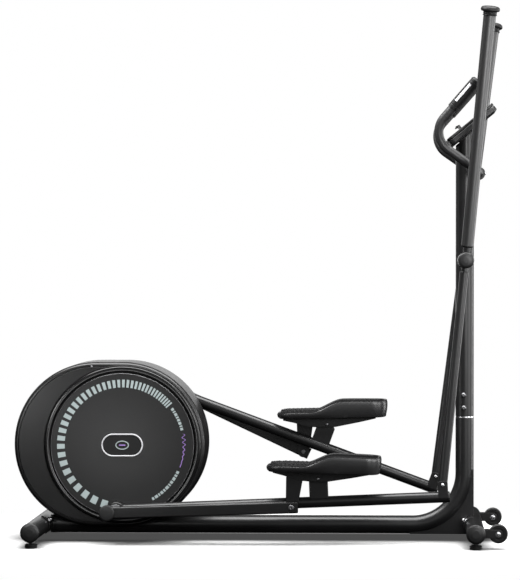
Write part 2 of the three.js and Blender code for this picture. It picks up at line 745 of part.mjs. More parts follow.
function flywheel() {
  const { radius, half, shaft, pulley } = FLYWHEEL;
  const outer = DRIVE.plateY + DRIVE.plate + 10;
  const profile = [
    [0, -outer],
    [shaft, -outer],
    [shaft, -half - 4],
    [22, -half - 4],
    [22, -6],
    [radius - 22, -6],
    [radius - 22, -half],
    [radius, -half],
    [radius, half],
    [radius - 22, half],
    [radius - 22, 6],
    [22, 6],
    [22, half + 4],
    [shaft, half + 4],
    [shaft, DRIVE.beltLow],
    [pulley, DRIVE.beltLow],
    [pulley, DRIVE.beltHigh],
    [0, DRIVE.beltHigh],
  ];
  return turned(profile, across(FLYWHEEL.x, FLYWHEEL.z), 24);
}

// An arc of magnets that swings away from the flywheel's rim.
function magnetBrake() {
  const [from, to] = [rad(BRAKE.pivotAngle), rad(BRAKE.farAngle)];
  const outer = roundPoints(FLYWHEEL.x, FLYWHEEL.z, BRAKE.outer, 16, from, to - from);
  const inner = roundPoints(FLYWHEEL.x, FLYWHEEL.z, BRAKE.inner, 16, from, to - from).reverse();
  const boss = plate(circle(brakePivot.x, brakePivot.y, 11), -BRAKE.half, BRAKE.half);
  const bore = plate(circle(brakePivot.x, brakePivot.y, 4.8), -60, 60);
  return cut(plate([...outer, ...inner], -BRAKE.half, BRAKE.half).add(boss), bore);
}

add("drive_bracket", driveBracket(), PAINT);
add("crank_bearing", crankBearing(), STEEL);
add("drive_belt", driveBelt(), RUBBER);
add("flywheel", flywheel(), IRON);
add("magnet_brake", magnetBrake(), PAINT);

// ---------------------------------------------------------------- cranks

function crankAxle() {
  return turned(rodProfile(CRANK.axle, -CRANK_ARM.back, CRANK_ARM.back), across(CRANK.x, CRANK.z));
}

function drivePulley() {
  const { pulley, beltLow, beltHigh } = DRIVE;
  const bore = CRANK.axle + 0.5;
  const profile = [
    [bore, beltLow - 3],
    [24, beltLow - 3],
    [24, beltLow + 4],
    [pulley - 9, beltLow + 4],
    [pulley - 9, beltLow],
    [pulley, beltLow],
    [pulley, beltHigh],
    [pulley - 9, beltHigh],
    [pulley - 9, beltHigh - 4],
    [24, beltHigh - 4],
    [24, beltHigh + 3],
    [bore, beltHigh + 3],
    [bore, beltLow - 3],
  ];
  return turned(profile, across(CRANK.x, CRANK.z), 28);
}

// A flat crank on the axle, with a boss near its tip that carries the foot tube's pin.
function crankArm(side, pin) {
  const bar = strap([CRANK.x, CRANK.z, CRANK_ARM.hub], [pin.x, pin.y, CRANK_ARM.eye], 12);
  const bored = circle(CRANK.x, CRANK.z, CRANK.axle + 0.5, 20);
  const round = circle(CRANK.x, CRANK.z, CRANK_ARM.hub, 20);
  const hub = sidePlate(round, side, CRANK_ARM.hubBack, CRANK_ARM.back + 1, [bored]);
  const tip = circle(pin.x, pin.y, CRANK_ARM.boss, 20);
  const boss = sidePlate(tip, side, CRANK_ARM.front - 1, CRANK_ARM.bossTip);
  return join(sidePlate(bar, side, CRANK_ARM.back + 0.5, CRANK_ARM.front), hub, boss);
}

// A round cover over the crank, with a raised oblong badge in its middle.
function crankDisc(side, pin) {
  const { radius, back, front, skin, rim } = DISC;
  const profile = [
    [0, front - skin],
    [radius - rim, front - skin],
    [radius - rim, back],
    [radius, back],
    [radius, front - 2],
    [radius - 3, front],
    [0, front],
  ];
  const badge = strap(
    [CRANK.x - BADGE.half + BADGE.round, CRANK.z, BADGE.round],
    [CRANK.x + BADGE.half - BADGE.round, CRANK.z, BADGE.round],
    12,
  );
  const disc = turned(profile, across(CRANK.x, CRANK.z, side), 32);
  const bossHole = circle(pin.x, pin.y, CRANK_ARM.boss + GAP, 20);
  return cut(
    disc.add(sidePlate(badge, side, front - 1, front + BADGE.thick)),
    sidePlate(bossHole, side, 90, 120),
  );
}

add("crank_axle", crankAxle(), STEEL);
add("drive_pulley", drivePulley(), MATTE);

// ---------------------------------------------------------------- swing arms (frame at the arm's pivot)

// Where the handle's axis lies at a height above the pivot.
const handleAt = (side, height) =>
  new THREE.Vector3(0, side * (HANDLE.startY + (HANDLE.splay * height) / HANDLE.top), height);

function swingArm(side) {
  const low = CLEVIS.above - ARM.reach;
  const y = side * ARM.lowerY;
  const hub = turned(rodProfile(ARM_TUBE.hub, ARM.hubInner, ARM.hubOuter), across(0, 0, side), 18);
  const cap = turned(rodProfile(ARM_TUBE.cap, ARM.hubOuter - 1, ARM.hubOuter + 6), across(0, 0, side), 18);
  const bore = turned(rodProfile(10.5, ARM.hubInner - 10, ARM.hubOuter - 4), across(0, 0, side), 14);
  const lowerNeck = pipe(straight([0, y, -15], [0, y, -45]), ARM_TUBE.neck, 0, 14);
  const collar = pipe(straight([0, y, -34], [0, y, -42]), ARM_TUBE.radius + 0.8, 0, 12);
  const lowerTube = pipe(straight([0, y, -37], [0, y, low]), ARM_TUBE.radius, ARM_TUBE.wall, 12);
  const [spigotLow, spigotHigh] = [14, HANDLE.socket - 10].map((z) => handleAt(side, z).toArray());
  const spigot = pipe(straight(spigotLow, spigotHigh), ARM_TUBE.neck, 0, 14);
  const clevisTop = low + 2;
  const forkBottom = -ARM.reach - CLEVIS.half;
  const [inner, outer] = [CLEVIS.inner - CLEVIS.ear, CLEVIS.outer + CLEVIS.ear];
  const cheek = roundBox(-CLEVIS.half, CLEVIS.half, forkBottom, clevisTop, 9, 3);
  const slot = polygon(
    [-40, forkBottom - 10],
    [40, forkBottom - 10],
    [40, clevisTop - CLEVIS.ear],
    [-40, clevisTop - CLEVIS.ear],
  );
  const fork = cut(sidePlate(cheek, side, inner, outer), sidePlate(slot, side, CLEVIS.inner, CLEVIS.outer));
  const bolt = boltProfile(CLEVIS.bolt, inner, outer, 7, 4);
  const hung = join(cut(join(hub, cap, lowerNeck, spigot), bore), collar, lowerTube, fork);
  return hung.add(turned(bolt, across(0, -ARM.reach, side), 10));
}

function handle(side) {
  const from = handleAt(side, HANDLE.bottom);
  const length = handleAt(side, HANDLE.top).sub(from).length();
  const socket = ARM_TUBE.neck + GAP;
  const profile = [
    [socket, 0],
    [HANDLE.radius - 4, 0],
    [HANDLE.radius, 5],
    [HANDLE.radius, length],
    [HANDLE.bore, length],
    [HANDLE.bore, HANDLE.socket],
    [socket, HANDLE.socket - 8],
    [socket, 0],
  ];
  return turned(profile, along(from, handleAt(side, HANDLE.top)));
}

// A mushroom-shaped stopper in the top of the handle.
function handleCap(side) {
  const { radius, high, neck, neckHigh } = HANDLE_CAP;
  const plug = HANDLE.bore - GAP;
  const profile = [
    [0, -25],
    [plug, -25],
    [plug, GAP],
    [neck, GAP],
    [neck, neckHigh],
    [radius - 2, neckHigh + 2],
    [radius, neckHigh + 5],
    [radius - 3, high - 5],
    [radius - 13, high],
    [0, high + 1],
  ];
  const top = handleAt(side, HANDLE.top);
  return turned(profile, along(top, handleAt(side, HANDLE.top + 100)));
}

// ---------------------------------------------------------------- foot tubes (frame at the crank pin)

function footTube(side) {
  const y = side * ARM.lowerY;
  const { x: hx, z: hz } = TUBE_HANGER;
  const { x: px, z: pz } = TUBE_PEDAL;
  const run = pipe(straight([15, y, 0], [hx + TUBE.tail, y, 0]), TUBE.radius, TUBE.wall, 16);
  const boss = sidePlate(circle(0, 0, TUBE.boss, 20), side, TUBE.bossIn, TUBE.bossOut);
  const bore = sidePlate(circle(0, 0, PIN.radius + 0.5), side, 90, 170);
  const lugHole = circle(hx, hz, CLEVIS.bolt + 0.8, 12);
  const lug = sidePlate(strap([hx, hz, 13], [hx, 14, 16], 8), side, 125, 139, [lugHole]);
  const legOutline = polygon(
    [px - LEG.half, 10],
    [px + LEG.half, 10],
    [px + LEG.half, pz - 8],
    [px + 12, pz + 11],
    [px - 12, pz + 11],
    [px - LEG.half, pz - 8],
  );
  const leg = sidePlate(legOutline, side, LEG.inner, LEG.outer, [circle(px, pz, 5.6, 12)]);
  const innerLeg = [LEG.inner + LEG.wall, LEG.outer - LEG.wall].map((v) => side * v);
  innerLeg.sort((a, b) => a - b);
  const legHalf = LEG.half - LEG.wall;
  const hollow = box([px - legHalf, px + legHalf], innerLeg, [TUBE.radius + 2, pz + 40]);
  const tubeRoom = pipe(straight([15, y, 0], [hx, y, 0]), TUBE.radius - 1);
  return join(cut(run.add(boss), bore), lug, cut(leg, hollow, tubeRoom));
}

// The crank pin carries an offset stub that steers the rail.
function crankPin(side, offset) {
  const shaft = turned(rodProfile(PIN.radius, PIN.start, PIN.link + 1), across(0, 0, side));
  const outline = strap([0, 0, PIN.eye], [offset.x, offset.y, PIN.eye - 3], 10);
  const link = sidePlate(outline, side, PIN.link, PIN.linkEnd);
  const stub = turned(rodProfile(PIN.stub, PIN.linkEnd - 1, PIN.tip), across(offset.x, offset.y, side), 12);
  return join(shaft, link, stub);
}

// ---------------------------------------------------------------- rails (frame at the offset stub)

function controlRail(side) {
  const half = RAIL.high / 2;
  const middle = (RAIL.inner + RAIL.outer) / 2;
  const wide = (RAIL.outer - RAIL.inner) / 2;
  const section = (inset) =>
    roundBox(-half + inset, half - inset, -wide + inset, wide - inset, 5 - inset, 2);
  const path = straight([4, side * middle, 0], [RAIL.length + RAIL.tail, side * middle, 0]);
  const shape = new THREE.Shape(section(0));
  shape.holes = [new THREE.Path(section(RAIL.wall))];
  const options = { steps: 1, extrudePath: path, bevelEnabled: false };
  const tube = solid(new THREE.ExtrudeGeometry(shape, options));
  const eye = turned(rodProfile(RAIL_END.eye, RAIL.inner, RAIL_END.capEnd), across(0, 0, side));
  const bore = turned(rodProfile(9, RAIL.inner - 10, RAIL.outer), across(0, 0, side), 16);
  const bolt = turned(boltProfile(4.5, RAIL_END.boltIn, RAIL.outer, 7.5, 2.5), across(RAIL.length, 0, side), 12);
  return join(cut(tube.add(eye), bore), bolt);
}

// ---------------------------------------------------------------- pedals (level frame at the tube pivot)

function pedalSide() {
  const { back, front, bottom, tread, rim } = PEDAL;
  return [
    ...polygon([back + 8, bottom + 4], [back + 40, bottom], [front - 12, bottom]),
    ...polygon([front - 4, rim - 6], [front - 10, rim], [48, rim], [22, rim - 6]),
    ...polygon([-18, tread + 13], [-44, tread + 4], [back + 12, tread + 2], [back, tread - 4]),
  ];
}

// The plan outline of the tray, mirrored for the left side.
function pedalPlan(side, inset) {
  const ys = [side * (PEDAL.inner + inset), side * (PEDAL.outer - inset)].sort((a, b) => a - b);
  return roundBox(PEDAL.back + inset, PEDAL.front - inset, ...ys, 42 - inset, 5);
}

function pedal(side) {
  const body = sidePlate(pedalSide(), side, PEDAL.inner, PEDAL.outer);
  const tray = body.intersect(slab(pedalPlan(side, 0), 0, 200));
  const well = slab(pedalPlan(side, 6), PEDAL.tread, 200);
  const under = slab(pedalPlan(side, 5), 0, PEDAL.tread - 5);
  return cut(tray, well, under);
}

// A channel under the tray, with the pivot bolt and a leg down to the rail.
function pedalBracket(side) {
  const { inner, outer, sheet, top } = CHANNEL;
  const low = -9;
  const hull = polygon(
    [-138, top],
    [-138, 13],
    [-60, low + 2],
    [-30, low],
    [27, low],
    [155, 14],
    [155, top],
  );
  const rail = polar(-PEDAL_LINK.reach, rad(PEDAL_LINK.angle));
  const foot = roundPoints(rail.x, rail.y, 15, 8, rad(170), rad(200));
  const leg = [...polygon([-47, 8], [-98, 8]), ...foot];
  const pivotHole = circle(rail.x, rail.y, 5.4, 12);
  const walls = [
    sidePlate(hull, side, inner, inner + sheet),
    sidePlate(hull, side, outer - sheet, outer),
    sidePlate(leg, side, outer - sheet, outer, [pivotHole]),
  ];
  const roofLine = polygon([-138, top], [-138, top - sheet], [155, top - sheet], [155, top]);
  const roof = sidePlate(roofLine, side, inner, outer);
  const bolt = turned(boltProfile(4.5, inner, outer, 8, 3), across(0, 0, side), 12);
  return join(roof, ...walls, bolt);
}

function buildSide(side, crankDegrees) {
  const label = sideName(side);
  const at = linkage(crankDegrees);
  add(`${label}_crank_arm`, crankArm(side, at.pin), STEEL);
  add(`${label}_crank_disc`, crankDisc(side, at.pin), GLOSS);

  const armFrame = frameAt(new THREE.Vector2(ARM.x, ARM.z), -at.armAngle);
  add(`${label}_swing_arm`, swingArm(side), PAINT, armFrame);
  add(`${label}_handle`, handle(side), MATTE, armFrame);
  add(`${label}_handle_cap`, handleCap(side), MATTE, armFrame);

  const tubeFrame = frameAt(at.pin, at.tubeAngle);
  const offset = at.eccentric.clone().sub(at.pin).rotateAround(new THREE.Vector2(), -at.tubeAngle);
  add(`${label}_foot_tube`, footTube(side), PAINT, tubeFrame);
  add(`${label}_crank_pin`, crankPin(side, offset), STEEL, tubeFrame);

  add(`${label}_control_rail`, controlRail(side), PAINT, frameAt(at.eccentric, at.railAngle));

  const pedalFrame = frameAt(at.pedal, at.pedalAngle);
  add(`${label}_pedal`, pedal(side), RUBBER, pedalFrame);
  add(`${label}_pedal_bracket`, pedalBracket(side), PAINT, pedalFrame);
}

buildSide(RIGHT, CRANK.angle);
buildSide(LEFT, CRANK.angle + 180);

export default trainer;
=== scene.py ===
"""Elliptical trainer: the visible model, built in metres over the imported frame.

+X is the machine's front, +Y the user's left and +Z up. Each moving assembly is built in its
own local frame, which is worked out from the joints, and then rides on its body.
"""

import json
import math

import bmesh
import bpy
from mathutils import Matrix, Vector


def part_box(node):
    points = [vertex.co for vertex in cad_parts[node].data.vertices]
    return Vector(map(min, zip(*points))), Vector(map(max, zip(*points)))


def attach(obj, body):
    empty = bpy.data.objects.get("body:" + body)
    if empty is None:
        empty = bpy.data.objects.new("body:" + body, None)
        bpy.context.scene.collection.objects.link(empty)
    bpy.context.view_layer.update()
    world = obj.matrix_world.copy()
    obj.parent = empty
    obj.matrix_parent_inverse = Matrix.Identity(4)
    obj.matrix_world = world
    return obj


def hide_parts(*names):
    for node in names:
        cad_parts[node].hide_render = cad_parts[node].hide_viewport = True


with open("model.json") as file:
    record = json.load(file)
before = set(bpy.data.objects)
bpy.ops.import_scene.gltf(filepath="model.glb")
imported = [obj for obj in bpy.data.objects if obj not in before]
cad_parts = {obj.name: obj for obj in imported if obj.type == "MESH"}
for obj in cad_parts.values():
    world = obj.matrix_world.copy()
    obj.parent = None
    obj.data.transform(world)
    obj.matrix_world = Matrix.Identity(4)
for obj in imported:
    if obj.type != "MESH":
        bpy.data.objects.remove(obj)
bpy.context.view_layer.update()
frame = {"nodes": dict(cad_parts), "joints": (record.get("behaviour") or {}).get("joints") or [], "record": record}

SIDES = {"right": -1, "left": 1}
AXIS = {j["name"]: Vector(j["pos_m"]) for j in frame["joints"] if "pos_m" in j}

# ---------------------------------------------------------------- camera

LENS_PER_LONG_SIDE = 4.1784  # focal length over the picture's long side
CAMERA = {"at": (0.4613, -7.626, 0.9002), "turn": 1.704, "dip": 0.857, "shift": -0.13}


def placed(name, data):
    """A new object in the scene."""
    made = bpy.data.objects.new(name, data)
    bpy.context.scene.collection.objects.link(made)
    return made


def photo_camera():
    data = bpy.data.cameras.new("photo_camera")
    data.sensor_width = 36.0
    data.lens = data.sensor_width * LENS_PER_LONG_SIDE
    data.shift_x = CAMERA["shift"]
    camera = placed("photo_camera", data)
    camera.location = CAMERA["at"]
    tilt = math.radians(90.0 - CAMERA["dip"])
    camera.rotation_euler = (tilt, 0.0, math.radians(CAMERA["turn"]))
    bpy.context.scene.camera = camera


photo_camera()

# ---------------------------------------------------------------- outlines


def ring_points(x, y, radius, start=0.0, sweep=360.0, steps=64):
    """Points round a circle or along an arc, in degrees."""
    count = steps if abs(sweep) >= 360.0 else steps + 1
    angles = [math.radians(start + sweep * i / steps) for i in range(count)]
    return [(x + radius * math.cos(a), y + radius * math.sin(a)) for a in angles]


def rounded(corners, radius, steps=5, closed=True):
    """A line with arcs for corners; a corner's third number is its own radius."""
    points = []
    for i, corner in enumerate(corners):
        here = Vector(corner[:2])
        own = corner[2] if len(corner) > 2 else radius
        at_end = not closed and i in (0, len(corners) - 1)
        back = Vector(corners[i - 1][:2]) - here
        ahead = Vector(corners[(i + 1) % len(corners)][:2]) - here
        if at_end or own <= 0 or min(back.length, ahead.length) < 1e-7:
            points.append(tuple(here))
            continue
        half = back.angle(ahead) / 2
        if half > math.radians(89.0):
            points.append(tuple(here))
            continue
        reach = min(own / math.tan(half), 0.48 * back.length, 0.48 * ahead.length)
        bow = reach * math.tan(half)
        middle = (back.normalized() + ahead.normalized()).normalized()
        centre = here + middle * (bow / math.sin(half))
        first = here + back.normalized() * reach - centre
        last = here + ahead.normalized() * reach - centre
        start = math.atan2(first.y, first.x)
        turn = math.remainder(math.atan2(last.y, last.x) - start, 2 * math.pi)
        for k in range(steps + 1):
            a = start + turn * k / steps
            points.append((centre.x + bow * math.cos(a), centre.y + bow * math.sin(a)))
    return points


def round_box(x0, x1, y0, y1, radius, steps=8):
    return rounded([(x1, y0), (x1, y1), (x0, y1), (x0, y0)], radius, steps)


def strap(ax, ay, ar, bx, by, br, steps=40):
    """The outline of a strap round two circles."""
    heading = math.degrees(math.atan2(by - ay, bx - ax))
    lean = math.degrees(math.acos((ar - br) / math.hypot(bx - ax, by - ay)))
    first = ring_points(ax, ay, ar, heading + lean, 360 - 2 * lean, steps)
    return first + ring_points(bx, by, br, heading - lean, 2 * lean, steps)


# ---------------------------------------------------------------- forms: (vertices, faces)


def skin(rings, loop=False):
    """A closed skin over rings of points: capped at both ends, or joined end to end."""
    count = len(rings[0])
    vertices = [Vector(p) for ring in rings for p in ring]
    faces = []
    for i in range(len(rings) if loop else len(rings) - 1):
        low, high = i * count, (i + 1) % len(rings) * count
        for k in range(count):
            n = (k + 1) % count
            faces.append((low + k, low + n, high + n, high + k))
    if not loop:
        faces.append(tuple(range(count))[::-1])
        faces.append(tuple(range(len(vertices) - count, len(vertices))))
    return vertices, faces


def merged(*forms):
    vertices, faces = [], []
    for form in forms:
        start = len(vertices)
        vertices.extend(form[0])
        faces.extend(tuple(start + i for i in face) for face in form[1])
    return vertices, faces


def moved(form, matrix):
    return [matrix @ Vector(v) for v in form[0]], form[1]


def form_of(mesh):
    """A mesh's vertices and faces; the mesh itself is put away."""
    form = [v.co.copy() for v in mesh.vertices], [tuple(p.vertices) for p in mesh.polygons]
    bpy.data.meshes.remove(mesh)
    return form


def mesh_of(name, form, edit):
    """A mesh of a form, after one edit of it."""
    mesh = bpy.data.meshes.new(name)
    mesh.from_pydata([tuple(v) for v in form[0]], [], form[1])
    work = bmesh.new()
    work.from_mesh(mesh)
    edit(work)
    work.to_mesh(mesh)
    work.free()
    return mesh


def lathe(profile, place, sides=72):
    """A turned form: (radius, distance) points round the place's Y axis."""
    vertices, rings, faces = [], [], []
    loop = (Vector(profile[0]) - Vector(profile[-1])).length < 1e-9
    for radius, along in profile[:-1] if loop else profile:
        count = 1 if radius < 1e-9 else sides
        rings.append([len(vertices) + k for k in range(count)])
        for x, z in ring_points(0, 0, radius, steps=sides)[:count]:
            vertices.append(place @ Vector((x, along, z)))
    pairs = list(zip(rings, rings[1:] + rings[:1])) if loop else list(zip(rings, rings[1:]))
    for low, high in pairs:
        for k in range(sides):
            n = (k + 1) % sides
            quad = [low[k % len(low)], low[n % len(low)], high[n % len(high)], high[k % len(high)]]
            face = tuple(dict.fromkeys(quad))
            if len(face) > 2:
                faces.append(face)
    return vertices, faces


def turned(profile, place, soft=0.0006, steps=3, sides=72):
    """A turned form with its profile's corners softened."""
    return lathe(rounded(profile, soft, steps, closed=False), place, sides)


def plate(outlines, y0, y1, bevel=0.001, place=None):
    """Side-view outlines (X, Z), the first one outside and the rest holes, made thick along Y."""
    curve = bpy.data.curves.new("plate", "CURVE")
    curve.dimensions, curve.fill_mode = "2D", "BOTH"
    curve.extrude = abs(y1 - y0) / 2 - bevel
    curve.bevel_depth, curve.bevel_resolution, curve.offset = bevel, 2, -bevel
    for outline in outlines:
        spline = curve.splines.new("POLY")
        spline.points.add(len(outline) - 1)
        for point, (x, z) in zip(spline.points, outline):
            point.co = (x, z, 0.0, 1.0)
        spline.use_cyclic_u = True
    carrier = bpy.data.objects.new("plate", curve)
    stand = Matrix.Translation((0, (y0 + y1) / 2, 0)) @ Matrix.Rotation(math.radians(90), 4, "X")
    form = moved(form_of(bpy.data.meshes.new_from_object(carrier)), stand)
    bpy.data.objects.remove(carrier)
    bpy.data.curves.remove(curve)
    return moved(form, place) if place else form


def slab(outlines, z0, z1, bevel=0.001, place=None):
    """Plan outlines (X, Y) made thick along Z."""
    form = plate(outlines, -z1, -z0, bevel)
    lay = Matrix.Rotation(math.radians(-90), 4, "X")
    return moved(form, (place or Matrix()) @ lay)


def side_plate(outlines, side, inner, outer, bevel=0.001, place=None):
    return plate(outlines, side * inner, side * outer, bevel, place)


def bent_line(corners, step=5.0):
    """(point, heading) stations along runs joined by arcs; each inner corner has a bend radius."""
    spots = [Vector(c[:3]) for c in corners]
    heading = [(b - a).normalized() for a, b in zip(spots, spots[1:])]
    stations = [(spots[0], heading[0])]
    for i in range(1, len(spots) - 1):
        before, after, radius = heading[i - 1], heading[i], corners[i][3]
        angle = before.angle(after)
        axis = before.cross(after).normalized()
        start = spots[i] - before * (radius * math.tan(angle / 2))
        centre = start + axis.cross(before) * radius
        count = math.ceil(math.degrees(angle) / step)
        for k in range(count + 1):
            turn = Matrix.Rotation(angle * k / count, 3, axis)
            stations.append((centre + turn @ (start - centre), turn @ before))
    stations.append((spots[-1], heading[-1]))
    return stations


def sweep(stations, section, side=None, edge=0.0012):
    """A section of (across, up) points carried along stations, with softened ends."""
    across = side or stations[0][1].orthogonal().normalized()
    rings, last = [], stations[0][1]
    size = max(math.hypot(*p) for p in section)
    for i, (point, heading) in enumerate(stations):
        across = last.rotation_difference(heading) @ across
        up = heading.cross(across)
        last = heading
        inwards = {0: 1, len(stations) - 1: -1}.get(i, 0)
        steps = [(0.0, 1.0)]
        if inwards:
            steps = [(0.0, 1 - edge / size), (0.3 * edge, 1 - 0.3 * edge / size), (edge, 1.0)]
        for back, scale in steps if inwards >= 0 else steps[::-1]:
            at = point + heading * (inwards * back)
            rings.append([at + across * (u * scale) + up * (v * scale) for u, v in section])
    return skin(rings)


def round_tube(corners, radius, sides, edge=0.0012):
    return sweep(bent_line(corners), ring_points(0, 0, radius, steps=sides), edge=edge)


# ---------------------------------------------------------------- places


def across(x, z, side=1):
    """Y axis across the machine through (x, z), outwards on the given side."""
    return Matrix.Translation((x, 0, z)) @ Matrix.Diagonal((1, side, 1, 1))


def along(start, end):
    """Y axis from a point towards another."""
    start, end = Vector(start), Vector(end)
    turn = Vector((0, 1, 0)).rotation_difference(end - start)
    return Matrix.Translation(start) @ turn.to_matrix().to_4x4()


def turned_up(x, z, angle):
    """Local X towards the front and up by an angle, through (x, z)."""
    return Matrix.Translation((x, 0, z)) @ Matrix.Rotation(-angle, 4, "Y")


def out(y):
    return Matrix.Translation((0, y, 0))


def flat(point):
    return Vector((point.x, point.z))


def bearing(start, end):
    return math.atan2(end.y - start.y, end.x - start.x)


def polar(length, angle):
    return Vector((math.cos(angle), math.sin(angle))) * length


# ---------------------------------------------------------------- materials


def shader(name, **uniform):
    """A material with its principled shader, and a helper that adds nodes.

    The helper takes what each input gets, a link or a value, then settings, where a name with
    an underscore for each space may be an input as well.
    """
    material = bpy.data.materials.new(name)
    material.use_nodes = True
    tree = material.node_tree
    surface = tree.nodes["Principled BSDF"]
    for socket, value in uniform.items():
        surface.inputs[socket.replace("_", " ")].default_value = value

    def add(kind, gets=(), **settings):
        node = tree.nodes.new(kind)
        for key, value in settings.items():
            if key.replace("_", " ") in node.inputs and not hasattr(type(node), key):
                node.inputs[key.replace("_", " ")].default_value = value
            else:
                setattr(node, key, value)
        for socket, source in dict(gets).items():
            if isinstance(source, bpy.types.NodeSocket):
                tree.links.new(source, node.inputs[socket])
            else:
                node.inputs[socket].default_value = source
        return node

    return material, tree, surface, add


BLOTCH = 14.0  # how fine the drift in tone is, per metre


def finish(name, dark, light, rough, grain, relief, stretch=(1, 1, 1), **uniform):
    """A finish whose tone and gloss drift a little, over a fine grain that lifts the surface.

    dark and light are greys or colours, rough is a (low, high) pair, grain is per metre and
    relief is in metres.
    """
    material, tree, surface, add = shader(name, **uniform)
    place = add("ShaderNodeTexCoord").outputs["Object"]
    scaled = add("ShaderNodeMapping", {"Vector": place}, Scale=stretch).outputs["Vector"]
    broad = add("ShaderNodeTexNoise", {"Vector": place}, Scale=BLOTCH, Detail=4.0)
    fine = add("ShaderNodeTexNoise", {"Vector": scaled}, Scale=grain, Detail=3.0)
    tone = add("ShaderNodeValToRGB", {"Fac": broad.outputs["Fac"]})
    for stop, shade in zip(tone.color_ramp.elements, (dark, light)):
        colour = shade if isinstance(shade, tuple) else (shade, shade, shade * 1.03)
        stop.color = (*colour, 1.0)
    tone.color_ramp.elements[0].position, tone.color_ramp.elements[1].position = 0.3, 0.7
    both = add("ShaderNodeMath", {0: broad.outputs["Fac"], 1: fine.outputs["Fac"]}, operation="ADD")
    gloss = add("ShaderNodeMapRange", {"Value": both.outputs[0]}, From_Min=0.6, From_Max=1.4,
                To_Min=rough[0], To_Max=rough[1])
    bump = add("ShaderNodeBump", {"Height": fine.outputs["Fac"]}, Distance=relief)
    tree.links.new(tone.outputs["Color"], surface.inputs["Base Color"])
    tree.links.new(gloss.outputs["Result"], surface.inputs["Roughness"])
    tree.links.new(bump.outputs["Normal"], surface.inputs["Normal"])
    return material


PAINT, STEEL, PRESSED = "satin_black_paint", "bright_steel", "pressed_steel"
PLASTIC, RUBBER, GLOSS = "matte_black_plastic", "black_rubber", "gloss_housing"
LOOKS = {
    PAINT: finish(
        "satin_paint", 0.0095, 0.0115, (0.28, 0.33), 90, 2e-6, Specular_IOR_Level=0.42
    ),
    "arm_paint": finish("arm_paint", 0.011, 0.014, (0.29, 0.34), 90, 2e-6),
    "handlebar_paint": finish("handlebar_paint", 0.022, 0.026, (0.38, 0.43), 90, 2e-6),
    GLOSS: finish("gloss_housing", 0.005, 0.0062, (0.34, 0.37), 90, 1e-6),
    "ring_gloss": finish("ring_gloss", 0.0045, 0.0055, (0.2, 0.24), 90, 1e-6),
    "crank_disc_gloss": finish("crank_disc_gloss", 0.0055, 0.007, (0.37, 0.4), 90, 1e-6),
    PLASTIC: finish("matte_plastic", 0.0095, 0.0115, (0.36, 0.44), 200, 6e-6),
    "moulded_grip": finish(
        "moulded_grip", 0.0085, 0.0095, (0.37, 0.41), 120, 2e-6, Specular_IOR_Level=0.95
    ),
    RUBBER: finish(
        "black_rubber", 0.0085, 0.01, (0.42, 0.5), 200, 8e-6, Specular_IOR_Level=0.25
    ),
    "pedal_shell": finish(
        "pedal_shell", 0.013, 0.016, (0.34, 0.38), 150, 3e-6, Specular_IOR_Level=0.9
    ),
    STEEL: finish(
        "bright_steel", 0.6, 0.7, (0.2, 0.28), 200, 1e-6, stretch=(1, 8, 8), Metallic=1.0
    ),
    "badge_silver": finish("badge_silver", 0.58, 0.66, (0.3, 0.38), 200, 1e-6, Metallic=0.1),
    PRESSED: finish("pressed_steel", 0.18, 0.24, (0.3, 0.42), 200, 2e-6, Metallic=1.0),
    "cast_iron": finish("cast_iron", 0.14, 0.2, (0.4, 0.6), 700, 4e-5, Metallic=0.9),
    "display_glass": finish("display_glass", 0.03, 0.035, (0.04, 0.08), 300, 1e-6),
    "print_white": finish(
        "print_white", (0.36, 0.42, 0.42), (0.4, 0.47, 0.47), (0.4, 0.5), 200, 1e-6
    ),
    "print_lilac": finish(
        "print_lilac", (0.34, 0.2, 0.58), (0.4, 0.24, 0.66), (0.4, 0.5), 200, 1e-6
    ),
}


# ---------------------------------------------------------------- pieces

SMOOTH_BELOW = math.radians(38.0)
JOIN_BELOW = 2e-6


def joined_up(work):
    bmesh.ops.remove_doubles(work, verts=work.verts, dist=JOIN_BELOW)
    bmesh.ops.recalc_face_normals(work, faces=work.faces)


def piece(name, form, look, body, *stands_for, slot=None):
    """A visible piece of the object that rides on a body and may stand for CAD nodes."""
    mesh = mesh_of(name, form, joined_up)
    mesh.shade_smooth()
    mesh.set_sharp_from_angle(angle=SMOOTH_BELOW)
    mesh.materials.append(LOOKS[look])
    made = placed(name, mesh)
    made.modifiers.new("even_normals", "WEIGHTED_NORMAL").keep_sharp = True
    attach(made, body)
    if stands_for:
        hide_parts(*stands_for)


def socket_bolt(radius, high, place):
    """A domed bolt head with a hexagon socket, standing on the place's origin along Y."""
    sink = 0.45 * radius
    dome = rounded(
        [(0, 0), (radius, 0), (radius, 0.25 * high), (0.72 * radius, 0.85 * high), (sink, high)],
        0.35 * radius, 4, closed=False,
    )
    return lathe(dome + [(sink, 0.45 * high), (0, 0.4 * high)], place, 30)


def cross_bolt(place, inner, outer, shank, head, high):
    """A bolt along the place's Y axis, with a head at both ends."""
    heads = [
        socket_bolt(head, high, place @ out(y) @ across(0, 0, way))
        for y, way in ((outer, 1), (inner, -1))
    ]
    rod = lathe([(0, inner), (shank, inner), (shank, outer), (0, outer)], place, 24)
    return merged(*heads, rod)


def cap_nut(radius, high, place):
    """A washer, a hexagon and a dome."""
    washer = [(0, 0), (1.5 * radius, 0), (1.5 * radius, 0.0016), (0, 0.0016)]
    washer = turned(washer, place, 0.0005, 2, 36)
    hexagon = [(0, 0.0016), (1.12 * radius, 0.0016), (1.12 * radius, 0.45 * high)]
    nut = lathe(hexagon + [(0.95 * radius, 0.52 * high), (0, 0.52 * high)], place, 6)
    dome = [
        (0.88 * radius * math.cos(a), 0.5 * high + 0.5 * high * math.sin(a))
        for a in (math.radians(9 * i) for i in range(10))
    ]
    return merged(washer, nut, lathe(dome + [(0, high)], place, 30))


# ---------------------------------------------------------------- floor bars and base

